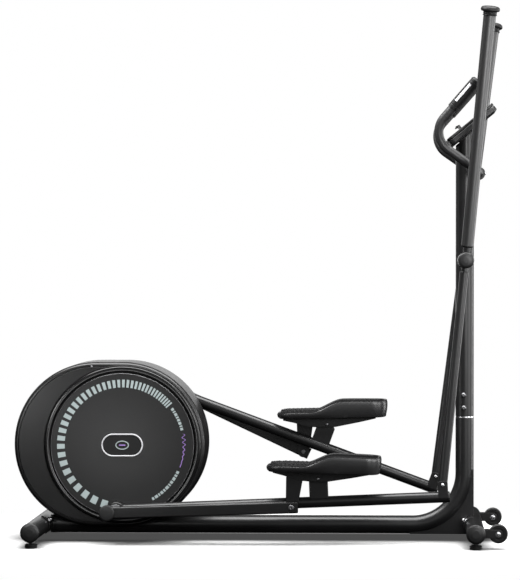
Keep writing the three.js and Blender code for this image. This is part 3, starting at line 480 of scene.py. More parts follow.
TUBE_R = 0.0285
GAP = 0.0004


def middle(node):
    low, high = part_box(node)
    return (low + high) / 2


REAR_X, BAR_Z = middle("rear_right_end_cap").x, middle("rear_right_end_cap").z
FRONT_X = middle("front_right_end_cap").x
BAR_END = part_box("front_left_end_cap")[1].y
MAST_X = middle("upper_mast").x
MAST_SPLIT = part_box("upper_mast")[0].z
MAST_BEND = 0.164
FOOT_Y = 0.25


def saddle(bar_x, facing):
    """A plate that hugs a floor bar, with its rolled edge."""
    start, turn = (-55, 135) if facing > 0 else (100, 135)
    low = TUBE_R + GAP
    outer = ring_points(bar_x, BAR_Z, low + 0.003, start, turn, 28)
    inner = ring_points(bar_x, BAR_Z, low, start, turn, 28)[::-1]
    return plate([outer + inner], -0.07, 0.07, 0.0008)


def saddle_nuts(bar_x, facing):
    lean = math.radians(30 if facing > 0 else 150)
    forms = []
    for y in (-0.05, 0.05):
        start = Vector((bar_x, y, BAR_Z)) + 0.0316 * Vector((math.cos(lean), 0, math.sin(lean)))
        ahead = start + Vector((math.cos(lean), 0, math.sin(lean)))
        forms.append(cap_nut(0.0072, 0.0125, along(start, ahead)))
    return merged(*forms)


def base():
    spine = [
        (REAR_X + 0.026, 0, BAR_Z),
        (MAST_X, 0, BAR_Z, MAST_BEND),
        (MAST_X, 0, MAST_SPLIT - 0.004),
    ]
    tube = round_tube(spine, TUBE_R, 64, 0.0016)
    collar = lathe(
        rounded([(TUBE_R, -0.003), (TUBE_R + 0.0006, 0), (TUBE_R + 0.0006, 0.002), (TUBE_R, 0.005)],
                0.0004, 2, False) + [(TUBE_R - 0.001, 0.005), (TUBE_R - 0.001, -0.003)],
        along((REAR_X + 0.035, 0, BAR_Z), (1, 0, BAR_Z)),
    )
    piece("base_tube", tube, PAINT, "frame", "base_frame")
    piece("rear_saddle", merged(saddle(REAR_X, 1), collar), PAINT, "frame")
    piece("rear_saddle_nuts", saddle_nuts(REAR_X, 1), STEEL, "frame")
    ring = [(0.0262, -0.006), (0.0274, -0.006), (0.0274, 0.002), (0.0262, 0.002), (0.0262, -0.006)]
    rim = lathe(ring, along((MAST_X, 0, MAST_SPLIT), (MAST_X, 0, 2)))
    piece("mast_joint_ring", rim, STEEL, "frame")


def gusset():
    centre = (MAST_X - MAST_BEND, BAR_Z + MAST_BEND)
    front, low = MAST_X + TUBE_R, BAR_Z - TUBE_R
    arc = ring_points(*centre, MAST_BEND, -93, 96, 48)
    outline = arc + [(front, 0.223), (front, low), (centre[0] - 0.009, low)]
    panel = plate([outline], -0.018, 0.018, 0.0012)
    piece("gusset_panel", panel, PAINT, "frame", "mast_gusset")
    piece("front_saddle", saddle(FRONT_X, -1), PAINT, "frame")
    piece("front_saddle_nuts", saddle_nuts(FRONT_X, -1), STEEL, "frame")


def floor_bar(name, bar_x, node):
    end = BAR_END - 0.0034
    tube = round_tube([(bar_x, -end, BAR_Z), (bar_x, end, BAR_Z)], TUBE_R, 64)
    piece(name, tube, PAINT, "frame", node)
    for label, side in SIDES.items():
        place = across(bar_x, BAR_Z, side)
        dome = [(0, BAR_END + 0.003), (0.012, BAR_END + 0.0026), (0.022, BAR_END + 0.001)]
        dome += [(0.0275, BAR_END - 0.0015), (0.0297, BAR_END - 0.0055), (0.0297, BAR_END - 0.0085)]
        cap = rounded(dome + [(0.0287, BAR_END - 0.0095), (0, BAR_END - 0.0095)], 0.002, 4, False)
        end_name = name.split("_")[0]
        cap_name = f"{end_name}_{label}_end_cap"
        piece(f"{cap_name}_moulding", lathe(cap, place), PLASTIC, "frame", cap_name)
        foot(end_name, label, bar_x, side)


def foot(end_name, label, bar_x, side):
    y = side * FOOT_Y
    profile = [(0, 0), (0.0165, 0), (0.019, 0.0015), (0.019, 0.0048), (0.0178, 0.0056)]
    profile += [(0.0178, 0.0066), (0.019, 0.0074), (0.019, 0.01), (0.016, 0.0122)]
    profile += [(0, 0.0122)]
    upright = along((bar_x, y, 0), (bar_x, y, 1))
    pad = lathe(profile, upright, 60)
    node = f"{end_name}_{label}_foot"
    body = f"{end_name}_{label}_leveller"
    piece(f"{node}_pad", pad, RUBBER, body, node)
    thread = [(0, 0.0118)]
    for i in range(9):
        z = 0.0122 + i * 0.0014
        thread += [(0.0048, z), (0.0055, z + 0.0007)]
    thread += [(0.0048, 0.0252), (0, 0.0252)]
    stem = lathe(thread, upright, 30)
    nut = [(0, 0.0148), (0.0098, 0.0148), (0.0104, 0.0156), (0.0104, 0.0188), (0.0098, 0.0196)]
    lock = lathe(nut + [(0, 0.0196)], upright, 6)
    piece(f"{node}_screw", merged(stem, lock), PRESSED, body)


FORK_HALF = 0.0155  # half the width over a wheel's fork


def wheels():
    for label, side in SIDES.items():
        hinge = AXIS[f"{label}_wheel_roll"]
        mid = abs(hinge.y)
        place = across(hinge.x, hinge.z, side)
        face = [(0.0047, 0.0108), (0.0095, 0.0108), (0.0102, 0.01), (0.0102, 0.0078)]
        face += [(0.0165, 0.0078), (0.0172, 0.0098), (0.0205, 0.0104), (0.0212, 0.0094)]
        face += [(0.0225, 0.0094), (0.0232, 0.0106), (0.0262, 0.0106), (0.029, 0.0076)]
        full = [(r, mid + y) for r, y in face] + [(r, mid - y) for r, y in face[::-1]]
        profile = rounded(full + full[:1], 0.0005, 3, False)
        node = f"{label}_transport_wheel"
        piece(f"{node}_tyre", lathe(profile, place), RUBBER, f"{label}_wheel", node)
        start = FRONT_X + TUBE_R - 0.007
        tail = ring_points(hinge.x, hinge.z, 0.013, -90, 180, 24)
        outline = tail + [(start, hinge.z + 0.013), (start, hinge.z - 0.013)]
        forks, bolts = [], []
        for edge in (-1, 1):
            inner = mid + edge * 0.0125
            forks.append(side_plate([outline], side, inner, inner + edge * 0.003, 0.0006))
            end = across(hinge.x, hinge.z, side * edge) @ out(edge * mid + FORK_HALF)
            washer = [(0, 0), (0.0088, 0), (0.0088, 0.001), (0, 0.001)]
            bolts += [socket_bolt(0.0062, 0.0045, end), lathe(washer, end)]
        low, high = mid - FORK_HALF, mid + FORK_HALF
        shank = [(0, low), (0.0042, low), (0.0042, high), (0, high)]
        piece(f"{label}_wheel_fork", merged(*forks), PAINT, "frame")
        piece(f"{label}_wheel_bolt", merged(lathe(shank, place, 24), *bolts), STEEL, "frame")


base()
gusset()
floor_bar("rear_bar", REAR_X, "rear_stabilizer")
floor_bar("front_bar", FRONT_X, "front_stabilizer")
wheels()

# ---------------------------------------------------------------- console frame

CONSOLE = turned_up(0.653, 1.3115, math.radians(39))
CONSOLE_THICK, CONSOLE_FACE = 0.026, 0.008
UNDERSIDE = -CONSOLE_THICK - GAP


def trimmed(form, point, normal):
    """The part of a closed form behind a plane, closed again."""

    def cut(work):
        everything = work.verts[:] + work.edges[:] + work.faces[:]
        made = bmesh.ops.bisect_plane(
            work, geom=everything, plane_co=point, plane_no=normal, clear_outer=True
        )
        rim = [e for e in made["geom_cut"] if isinstance(e, bmesh.types.BMEdge)]
        bmesh.ops.contextual_create(work, geom=rim)

    return form_of(mesh_of("trim", form, cut))


def mast():
    tube = round_tube([(MAST_X, 0, MAST_SPLIT), (MAST_X, 0, 1.335)], TUBE_R, 64, 0.0014)
    roof = CONSOLE @ Vector((0, 0, UNDERSIDE - 0.0042))
    up = CONSOLE.to_3x3() @ Vector((0, 0, 1))
    piece("mast_tube", trimmed(tube, roof, up), PAINT, "frame", "upper_mast")
    bolts = []
    for side in SIDES.values():
        for height in (0.027, 0.067):
            place = across(MAST_X - 0.003, MAST_SPLIT + height, side)
            bolts.append(socket_bolt(0.0075, 0.004, place @ out(0.0275)))
    piece("mast_bolts", merged(*bolts), PRESSED, "frame")


ARM = AXIS["right_arm_swing"]
HUB_IN, HUB_OUT = 0.105, 0.185


def arm_axle():
    half = [(0.017, 0), (0.017, HUB_IN - 0.008), (0.019, HUB_IN - 0.007), (0.019, HUB_IN - 0.004)]
    half += [(0.0235, HUB_IN - 0.0035), (0.0235, HUB_IN - 0.0008), (0.01, HUB_IN - 0.0008)]
    half += [(0.01, HUB_OUT - 0.005)]
    ends = [(0, HUB_OUT - 0.005)]
    full = [(r, -y) for r, y in ends + half[::-1]] + half[1:] + ends
    axle = turned(full, across(ARM.x, ARM.z))
    piece("axle_turning", axle, STEEL, "frame", "arm_axle")


BAR_R = 0.0143
BAR_CROSS = Vector((0.685, 0, 1.152))
BAR_ELBOW = Vector((0.526, 0.142, 1.264))
BAR_TIP = Vector((0.672, 0.18, 1.43))
GRIP_R, GRIP_LONG = 0.017, 0.112


def sided(point, side):
    return Vector((point.x, side * point.y, point.z))


def fixed_bar():
    route = []
    for side in (-1, 1):
        arm = [
            (*sided(BAR_TIP, side),),
            (*sided(BAR_ELBOW, side), 0.067),
            (BAR_CROSS.x, side * 0.12, BAR_CROSS.z, 0.045),
        ]
        route += arm if side < 0 else arm[::-1]
    piece("handlebar_tube", round_tube(route, BAR_R, 48), "handlebar_paint", "frame",
          "fixed_handlebar", slot=PAINT)
    nose = ring_points(BAR_CROSS.x, BAR_CROSS.z, 0.02, -90, 180, 24)
    back = BAR_CROSS.x - 0.036
    outline = nose + [(back, BAR_CROSS.z + 0.02), (back, BAR_CROSS.z - 0.02)]
    block = plate([rounded(outline, 0.002)], -0.022, 0.022, 0.002)
    screws = [
        socket_bolt(0.0045, 0.003, along((BAR_CROSS.x + 0.0195, y, BAR_CROSS.z), (2, y, BAR_CROSS.z)))
        for y in (-0.013, 0.013)
    ]
    piece("clamp_block", block, PLASTIC, "frame", "handlebar_clamp")
    piece("clamp_screws", merged(*screws), STEEL, "frame")
    for label, side in SIDES.items():
        fixed_grip(label, side)


def strip(length, radius, lift, facing, half, start, place):
    """A curved strip that lies along a round grip, centred on a direction in degrees."""
    rings = []
    for y in (start, start + length):
        outer = ring_points(0, 0, radius + lift, facing - half, 2 * half, 10)
        inner = ring_points(0, 0, radius - 0.002, facing - half, 2 * half, 10)[::-1]
        rings.append([place @ Vector((x, y, z)) for x, z in outer + inner])
    return skin(rings)


def fixed_grip(label, side):
    tip, elbow = sided(BAR_TIP, side), sided(BAR_ELBOW, side)
    start = tip + (elbow - tip).normalized() * GRIP_LONG
    heading = (tip - start).normalized()
    outwards = Vector((0, side, 0))
    outwards = (outwards - heading * outwards.dot(heading)).normalized()
    place = Matrix((outwards.cross(heading), heading, outwards)).transposed().to_4x4()
    place = Matrix.Translation(start) @ place
    end = GRIP_LONG + 0.0054
    profile = [(BAR_R + GAP, 0), (GRIP_R, 0), (GRIP_R, 0.01), (GRIP_R - 0.0006, 0.0108)]
    profile += [(GRIP_R - 0.0006, 0.0118), (GRIP_R, 0.0126), (GRIP_R, end - 0.014)]
    profile += [(GRIP_R - 0.0006, end - 0.0132), (GRIP_R, end - 0.0124), (GRIP_R, end - 0.005)]
    profile += [(GRIP_R - 0.004, end), (0, end), (0, 0.004), (BAR_R + GAP, 0.004), (BAR_R + GAP, 0)]
    grip = turned(profile, place, 0.0012, 4)
    node = f"{label}_fixed_grip"
    piece(f"{node}_moulding", grip, RUBBER, "frame", node)
    rear = 90 - 24 * side * math.copysign(1, place.to_3x3().col[0].x)
    strips = [
        strip(0.068, GRIP_R, 0.0004, facing, 14, 0.026, place) for facing in (rear, rear + 180)
    ]
    piece(f"{label}_pulse_plates", merged(*strips), "badge_silver", "frame", slot=STEEL)


def console():
    half_x, half_y = 0.0905, 0.1
    shell = [round_box(-half_x, half_x, -half_y, half_y, 0.018, 10)]
    tray = slab(shell, -CONSOLE_THICK, -CONSOLE_FACE - GAP, 0.004, CONSOLE)
    glass_box = (0.036 - 0.031, 0.036 + 0.031, -0.058, 0.058)
    window = round_box(*glass_box, 0.006, 5)
    keys = {"reset": -0.042, "mode": 0.0, "set": 0.042}
    holes = [ring_points(-0.074, y, 0.0075, steps=32) for y in keys.values()]
    face = slab([shell[0], window, *holes], -CONSOLE_FACE, 0.0, 0.0016, CONSOLE)
    backing = slab([round_box(-0.085, 0.085, -0.094, 0.094, 0.014)], -0.0078, -0.0045, 0.0005, CONSOLE)
    ledge = rounded(
        [(-0.034, -0.002), (-0.03, -0.002), (-0.03, 0.012), (-0.042, 0.015), (-0.043, 0.0125),
         (-0.034, 0.01)], 0.0012, 4,
    )
    shelf = plate([ledge], -0.07, 0.07, 0.0008, CONSOLE)
    frame_line = slab(
        [round_box(glass_box[0] - 0.005, glass_box[1] + 0.005, -0.063, 0.063, 0.009),
         round_box(glass_box[0] - 0.0005, glass_box[1] + 0.0005, -0.0585, 0.0585, 0.006)],
        -0.001, 0.0012, 0.0006, CONSOLE,
    )
    piece("console_tray", tray, PLASTIC, "frame", "console_back")
    piece("console_face", merged(face, backing), GLOSS, "frame", "console_front")
    piece("console_trim", merged(shelf, frame_line), PLASTIC, "frame")
    pane = slab([round_box(glass_box[0] + GAP, glass_box[1] - GAP, -0.0576, 0.0576, 0.006, 5)],
                -0.003, -0.0004, 0.0003, CONSOLE)
    piece("display_pane", pane, "display_glass", "frame", "display_window")
    for label, y in keys.items():
        place = CONSOLE @ Matrix.Translation((-0.074, y, 0)) @ Matrix.Rotation(math.pi / 2, 4, "X")
        top = [(0, -0.006), (0.007, -0.006), (0.007, 0.0008), (0.0055, 0.0016), (0, 0.0012)]
        key = turned(top, place, sides=40)
        piece(f"{label}_key_cap", key, RUBBER, f"{label}_key", f"{label}_button")
    bracket = slab([round_box(-0.062, 0.03, -0.036, 0.036, 0.01)], UNDERSIDE - 0.004, UNDERSIDE,
                   0.0008, CONSOLE)
    piece("console_seat", bracket, PAINT, "frame", "console_bracket")


mast()
arm_axle()
fixed_bar()
console()

# ---------------------------------------------------------------- drive housing

CRANK = AXIS["crank_spin"]
SHELL_X, SHELL_Z, SHELL_R, SHELL_HALF = -0.5106, CRANK.z + 0.001, 0.257, 0.095
RING_IN, RING_OUT = 0.227, 0.245


def shell_outline(inset, steps=96):
    radius = SHELL_R - inset
    rear = ring_points(SHELL_X, SHELL_Z, radius, 90, 180, steps)
    return rear + ring_points(CRANK.x, SHELL_Z, radius, -90, 180, steps)


def housing():
    for label, side in SIDES.items():
        shoulder = [(0.0008, 0.0003), (0, 0.0011), (0, 0.079)]
        shoulder += [(0.011 * (1 - math.cos(a)), 0.079 + 0.0155 * math.sin(a))
                     for a in (math.radians(10 * i) for i in range(1, 9))]
        shoulder += [(0.0125, 0.0945), (0.0132, 0.0935), (0.0132, 0.09), (0.004, 0.086), (0.004, 0.0003)]
        rings = [[Vector((x, side * y, z)) for x, z in shell_outline(inset)] for inset, y in shoulder]
        band = skin(rings, loop=True)
        hole = ring_points(CRANK.x, CRANK.z, RING_OUT + 0.0035, steps=160)
        face = side_plate([shell_outline(0.015), hole], side, 0.0885, SHELL_HALF, 0.0011)
        floor_hole = ring_points(CRANK.x, CRANK.z, 0.032, steps=64)
        back = side_plate([shell_outline(0.01), floor_hole], side, 0.0845, 0.0885, 0.0004)
        node = f"{label}_housing_shell"
        piece(f"{node}_moulding", merged(band, face, back), GLOSS, "frame", node)
        screw_place = across(-0.524, 0.547, side) @ out(SHELL_HALF - 0.001)
        piece(f"{label}_housing_screw", socket_bolt(0.0042, 0.0022, screw_place), PRESSED, "frame")
        dome = [(RING_IN, 0.0905), (RING_IN, 0.1)]
        for i in range(0, 13):
            a = math.radians(15 * i)
            dome.append(((RING_IN + RING_OUT) / 2 - 0.0086 * math.cos(a), 0.0995 + 0.0045 * math.sin(a)))
        dome += [(RING_OUT, 0.0985), (RING_OUT, 0.0905), (RING_IN, 0.0905)]
        ring = lathe(dome, across(CRANK.x, CRANK.z, side), 192)
        node = f"{label}_trim_ring"
        piece(f"{node}_moulding", ring, "ring_gloss", "frame", node, slot=GLOSS)


housing()

# ---------------------------------------------------------------- cranks and discs

DISC_R, DISC_FRONT = 0.224, 0.105
PRINT = DISC_FRONT + 0.00025
BADGE_HALF, BADGE_BOW = 0.065, 0.03575


def printed(outline, side):
    """A thin printed patch that stands on the disc's face."""
    levels = (PRINT - 0.0006, PRINT)
    return skin([[Vector((x, side * y, z)) for x, z in outline] for y in levels])


def wedge(radius_in, radius_out, centre, width, side):
    """A printed mark on the disc, between two radii and centred on an angle in degrees."""
    outer = ring_points(CRANK.x, CRANK.z, radius_out, centre - width / 2, width, 4)
    inner = ring_points(CRANK.x, CRANK.z, radius_in, centre - width / 2, width, 4)[::-1]
    return printed(outer + inner, side)


def tick_marks(side, flip):
    """Marks that close up clockwise, as on a volume dial."""
    forms, angle, pitch = [], 253.0, 10.2
    for _ in range(40):
        forms.append(wedge(0.18, 0.204, flip(angle), 0.6 * pitch, side))
        angle -= pitch
        pitch *= 0.963
    return merged(*forms)


def dashes(side, flip, first, last, widths):
    """A row of plain dashes along the disc's edge."""
    forms, total = [], sum(widths) + 0.8 * (len(widths) - 1)
    scale, angle = (last - first) / total, first
    for width in widths:
        centre = angle + scale * width / 2
        forms.append(wedge(0.188, 0.197, flip(centre), abs(scale) * width, side))
        angle += scale * (width + 0.8)
    return merged(*forms)


def wave(side, flip, first, last):
    """A plain wavy line along the disc's edge."""
    steps, ridge, forms = 120, 0.0011, []
    line = []
    for i in range(steps + 1):
        t = i / steps
        radius = 0.193 + 0.0048 * math.sin(2 * math.pi * 7 * t) * (0.5 + 0.5 * math.cos(3 * t))
        line.append((radius, math.radians(flip(first + (last - first) * t))))
    for (r0, a0), (r1, a1) in zip(line, line[1:]):
        corners = [(r0 - ridge, a0), (r0 + ridge, a0), (r1 + ridge, a1), (r1 - ridge, a1)]
        patch = [(CRANK.x + r * math.cos(a), CRANK.z + r * math.sin(a)) for r, a in corners]
        forms.append(printed(patch, side))
    return merged(*forms)


def badge_outline(inset):
    half, bow = BADGE_HALF - BADGE_BOW, BADGE_BOW - inset
    return strap(CRANK.x - half, CRANK.z, bow, CRANK.x + half, CRANK.z, bow, 32)


def crank_side(label, side, pin):
    flip = (lambda a: a) if side < 0 else (lambda a: 180.0 - a)
    boss_hole = ring_points(pin.x, pin.y, 0.0176, steps=48)
    disc_face = side_plate(
        [ring_points(CRANK.x, CRANK.z, DISC_R, steps=192), boss_hole], side, 0.0985, DISC_FRONT, 0.0009
    )
    piece(f"{label}_disc_cover", disc_face, "crank_disc_gloss", "crank", f"{label}_crank_disc")
    edge = [(DISC_R - 0.0021, 0.1049), (DISC_R - 0.0012, 0.1052), (DISC_R - 0.0006, 0.1047)]
    edge = edge + [(DISC_R - 0.0012, 0.1042), edge[0]]
    piece(f"{label}_disc_edge", lathe(edge, across(CRANK.x, CRANK.z, side), 192), PRESSED, "crank")
    marks = merged(
        tick_marks(side, flip),
        dashes(side, flip, 36.5, 14.0, (2.2, 1.2, 2.6, 1.4, 2.0, 2.4, 1.2, 2.2)),
        dashes(side, flip, -25.0, -61.0, (2.0, 1.6, 2.4, 2.0, 1.2, 2.6, 1.4, 2.0, 1.2, 2.4, 1.6)),
    )
    piece(f"{label}_disc_marks", marks, "print_white", "crank")
    piece(f"{label}_disc_wave", wave(side, flip, 10.5, -21.0), "print_lilac", "crank")
    badge_back = side_plate([badge_outline(0.0016)], side, DISC_FRONT - 0.0005, DISC_FRONT + 0.003, 0.0006)
    rim = side_plate([badge_outline(0), badge_outline(0.0044)], side, DISC_FRONT - 0.0005,
                     DISC_FRONT + 0.005, 0.0016)
    piece(f"{label}_badge_face", badge_back, RUBBER, "crank")
    piece(f"{label}_badge_rim", rim, "badge_silver", "crank", slot=STEEL)
    top = DISC_FRONT + 0.0032
    oval = [(CRANK.x + 0.021 * math.cos(a), CRANK.z + 0.014 * math.sin(a))
            for a in (2 * math.pi * i / 48 for i in range(48))]
    inner = [(CRANK.x + (x - CRANK.x) * 0.86, CRANK.z + (z - CRANK.z) * 0.8) for x, z in oval]
    piece(f"{label}_badge_oval", side_plate([oval, inner], side, top - 0.001, top, 0.0002),
          "print_white", "crank")
    bar = round_box(CRANK.x - 0.01, CRANK.x + 0.01, CRANK.z - 0.0016, CRANK.z + 0.0016, 0.0015)
    piece(f"{label}_badge_bar", side_plate([bar], side, top - 0.001, top, 0.0002), "print_lilac", "crank")
    arm = strap(CRANK.x, CRANK.z, 0.027, pin.x, pin.y, 0.018)
    hub = [(0.0105, 0.085), (0.027, 0.085), (0.027, 0.0975), (0.0105, 0.0975), (0.0105, 0.085)]
    boss = [(0, 0.1), (0.017, 0.1), (0.017, 0.1128), (0.0158, 0.114), (0.0115, 0.114)]
    boss += [(0.011, 0.1132), (0, 0.1132)]
    crank = merged(
        side_plate([arm], side, 0.0965, 0.0984, 0.0004),
        turned(hub, across(CRANK.x, CRANK.z, side), 0.0006, 2),
        turned(boss, across(pin.x, pin.y, side), 0.0005),
    )
    piece(f"{label}_crank_forging", crank, PRESSED, "crank", f"{label}_crank_arm")


# ---------------------------------------------------------------- linkage frames

TUBE_HANGER = Vector((1.014, 0.038))  # swing-arm pivot in the foot tube's frame
TUBE_PEDAL = Vector((0.63, 0.074))  # pedal pivot in the foot tube's frame
LINK_ANGLE = math.radians(48.5)  # rail pivot to tube pivot, in the level pedal's frame
OFFSET_REACH, OFFSET_ANGLE = 0.025, math.radians(190.0 + 94.1)


def linkage(label):
    """Where one side's linkage lies at rest, from its joints."""
    hanger, pedal = flat(AXIS[f"{label}_tube_hang"]), flat(AXIS[f"{label}_pedal_tilt"])
    rail = flat(AXIS[f"{label}_rail_pivot"])
    tube_angle = bearing(pedal, hanger) - bearing(TUBE_PEDAL, TUBE_HANGER)
    reach = TUBE_HANGER.copy()
    reach.rotate(Matrix.Rotation(tube_angle, 2))
    pin = hanger - reach
    stub = pin + polar(OFFSET_REACH, bearing(flat(CRANK), pin) + OFFSET_ANGLE)
    arm = flat(AXIS[f"{label}_arm_swing"])
    lean = math.atan2(arm.x - hanger.x, arm.y - hanger.y)
    return {
        "pin": pin,
        "tube": turned_up(*pin, tube_angle),
        "arm": turned_up(*arm, -lean),
        "pedal": turned_up(*pedal, bearing(rail, pedal) - LINK_ANGLE),
        "rail": turned_up(*stub, bearing(stub, rail)),
        "rail_long": (rail - stub).length,
        "arm_long": (hanger - arm).length,
        "offset": turned_up(*pin, tube_angle).inverted() @ Vector((stub.x, 0, stub.y)),
    }


# ---------------------------------------------------------------- swing arms and handles

ARM_R, NECK_R, ARM_Y = 0.0143, 0.0113, 0.132
HANDLE_Y, HANDLE_SPLAY, HANDLE_LOW, HANDLE_TOP = 0.165, 0.097, 0.04, 0.745
HANDLE_R = 0.0192
HANDLE_SET = {-1: -0.0065, 1: 0.0015}  # how far each handle is set over at its top


def handle_at(side, height):
    rise = height / HANDLE_TOP
    return Vector((HANDLE_SET[side] * rise, side * (HANDLE_Y + HANDLE_SPLAY * rise), height))


def swing_arm(label, side, at):
    place, bottom = at["arm"], -at["arm_long"]
    turn = place @ across(0, 0, side)
    hub = [(0.0105, HUB_IN), (0.0235, HUB_IN), (0.025, HUB_IN + 0.0015), (0.025, HUB_OUT - 0.002)]
    hub += [(0.0238, HUB_OUT), (0.0105, HUB_OUT), (0.0105, HUB_IN)]
    y = side * ARM_Y
    down, up = along((0, y, 0), (0, y, -1)), along(handle_at(side, 0), handle_at(side, 1))
    neck, spigot = (
        turned([(0, 0.012), (NECK_R, 0.012), (NECK_R, end), (0, end)], place @ way, 0.001, 2, 48)
        for way, end in ((down, 0.04), (up, 0.1))
    )
    tube = [(0, 0.035), (0.0126, 0.035), (ARM_R, 0.0372), (ARM_R, -bottom - 0.004)]
    tube += [(0.0128, -bottom + 0.008), (0.0085, -bottom + 0.0125), (0, -bottom + 0.0135)]
    tube = turned(tube, place @ down, 0.002, 4, 56)
    forms = merged(turned(hub, turn, 0.0008), neck, tube, spigot)
    piece(f"{label}_arm_weldment", forms, "arm_paint", f"{label}_arm", f"{label}_swing_arm",
          slot=PAINT)
    cap = [(0, HUB_OUT + 0.0068), (0.009, HUB_OUT + 0.0064), (0.017, HUB_OUT + 0.0052)]
    cap += [(0.0222, HUB_OUT + 0.0032), (0.0242, HUB_OUT + 0.0012), (0.0242, HUB_OUT + 0.0002)]
    cap += [(0, HUB_OUT + 0.0002)]
    dome = turned(cap, turn, 0.004, 5, 96)
    piece(f"{label}_pivot_cap", dome, PLASTIC, f"{label}_arm")


def swing_handle(label, side, at):
    low, top = handle_at(side, HANDLE_LOW), handle_at(side, HANDLE_TOP)
    long = (top - low).length
    place = at["arm"] @ along(low, top)
    bore = NECK_R + GAP
    profile = [(bore, 0), (HANDLE_R - 0.0042, 0), (HANDLE_R, 0.0055), (HANDLE_R, long - 0.0006)]
    profile += [(HANDLE_R - 0.0006, long), (0.0165, long), (0.0165, 0.12), (bore, 0.11), (bore, 0)]
    sleeve = turned(profile, place, 0.0009, 4, 96)
    piece(f"{label}_handle_sleeve", sleeve, "moulded_grip", f"{label}_arm", f"{label}_handle")
    turn = at["arm"] @ along(top, handle_at(side, HANDLE_TOP + 0.1))
    cap = [(0, -0.02), (0.0155, -0.02), (0.0155, 0.0004), (0.0218, 0.0004), (0.0222, 0.002)]
    cap += [(0.0205, 0.003), (0.02, 0.0045), (0.0212, 0.0055), (0.0205, 0.0095), (0.0212, 0.0118)]
    cap += [(0.0268, 0.0132), (0.029, 0.016), (0.0292, 0.02), (0.0276, 0.0245), (0.0235, 0.0276)]
    cap += [(0.015, 0.0292), (0.007, 0.0298), (0, 0.03)]
    stopper = turned(cap, turn, 0.0016, 4, 96)
    piece(f"{label}_handle_stopper", stopper, RUBBER, f"{label}_arm",
          f"{label}_handle_cap", slot=PLASTIC)


# ---------------------------------------------------------------- foot tubes and rails

FOOT_R = 0.01725
FORK_IN, FORK_OUT = 0.1138, 0.1502


def foot_tube(label, side, at):
    place, y = at["tube"], side * ARM_Y
    turn = place @ across(0, 0, side)
    hx, hz = TUBE_HANGER
    px, pz = TUBE_PEDAL
    run = moved(round_tube([(0.012, y, 0), (hx + 0.0185, y, 0)], FOOT_R, 56, 0.001), place)
    boss = [(0.0106, 0.115), (0.0236, 0.115), (0.025, 0.1164), (0.025, 0.1476), (0.0236, 0.149)]
    boss += [(0.0106, 0.149), (0.0106, 0.115)]
    eye = turned(boss, turn, 0.0008)
    cheek = rounded(
        [(hx - 0.0152, -0.002, 0.001), (hx + 0.0158, -0.002, 0.001), (hx + 0.0158, hz + 0.0125, 0.007),
         (hx - 0.0152, hz + 0.0125, 0.007)], 0.004, 6,
    )
    cheeks = [
        side_plate([cheek], side, FORK_OUT - 0.0032, FORK_OUT, 0.0007, place),
        side_plate([cheek], side, FORK_IN, FORK_IN + 0.0032, 0.0007, place),
    ]
    leg = rounded(
        [(px - 0.029, 0.01), (px + 0.029, 0.01), (px + 0.029, pz - 0.008), (px + 0.013, pz + 0.01),
         (px - 0.013, pz + 0.01), (px - 0.029, pz - 0.008)], 0.004,
    )
    post = side_plate([leg], side, 0.12, 0.144, 0.0022, place)
    piece(f"{label}_tube_weldment", merged(run, eye, *cheeks, post), PAINT,
          f"{label}_tube", f"{label}_foot_tube")
    plug = [(0, 0.0), (FOOT_R - 0.0008, 0.0), (FOOT_R - 0.0008, 0.0016), (FOOT_R - 0.003, 0.0026)]
    end = place @ along((hx + 0.0186, y, 0), (hx + 1, y, 0))
    end = turned(plug + [(0, 0.0028)], end, sides=48)
    piece(f"{label}_tube_plug", end, PLASTIC, f"{label}_tube")
    bolt = cross_bolt(place @ across(hx, hz, side), FORK_IN, FORK_OUT, 0.004, 0.0062, 0.0042)
    piece(f"{label}_hanger_bolt", bolt, STEEL, f"{label}_tube")
    shaft = [(0, 0.1146), (0.0092, 0.1146), (0.01, 0.1154), (0.01, 0.152), (0, 0.152)]
    offset = at["offset"]
    link = strap(0, 0, 0.019, offset.x, offset.z, 0.016)
    stub = [(0, 0.1565), (0.007, 0.1565), (0.007, 0.159), (0, 0.1594)]
    pin = merged(
        turned(shaft, turn, 0.0004, 2, 40),
        side_plate([link], side, 0.1515, 0.1575, 0.0008, place),
        lathe(stub, place @ across(offset.x, offset.z, side), 32),
    )
    piece(f"{label}_pin_turning", pin, PRESSED, f"{label}_tube", f"{label}_crank_pin",
          slot=STEEL)


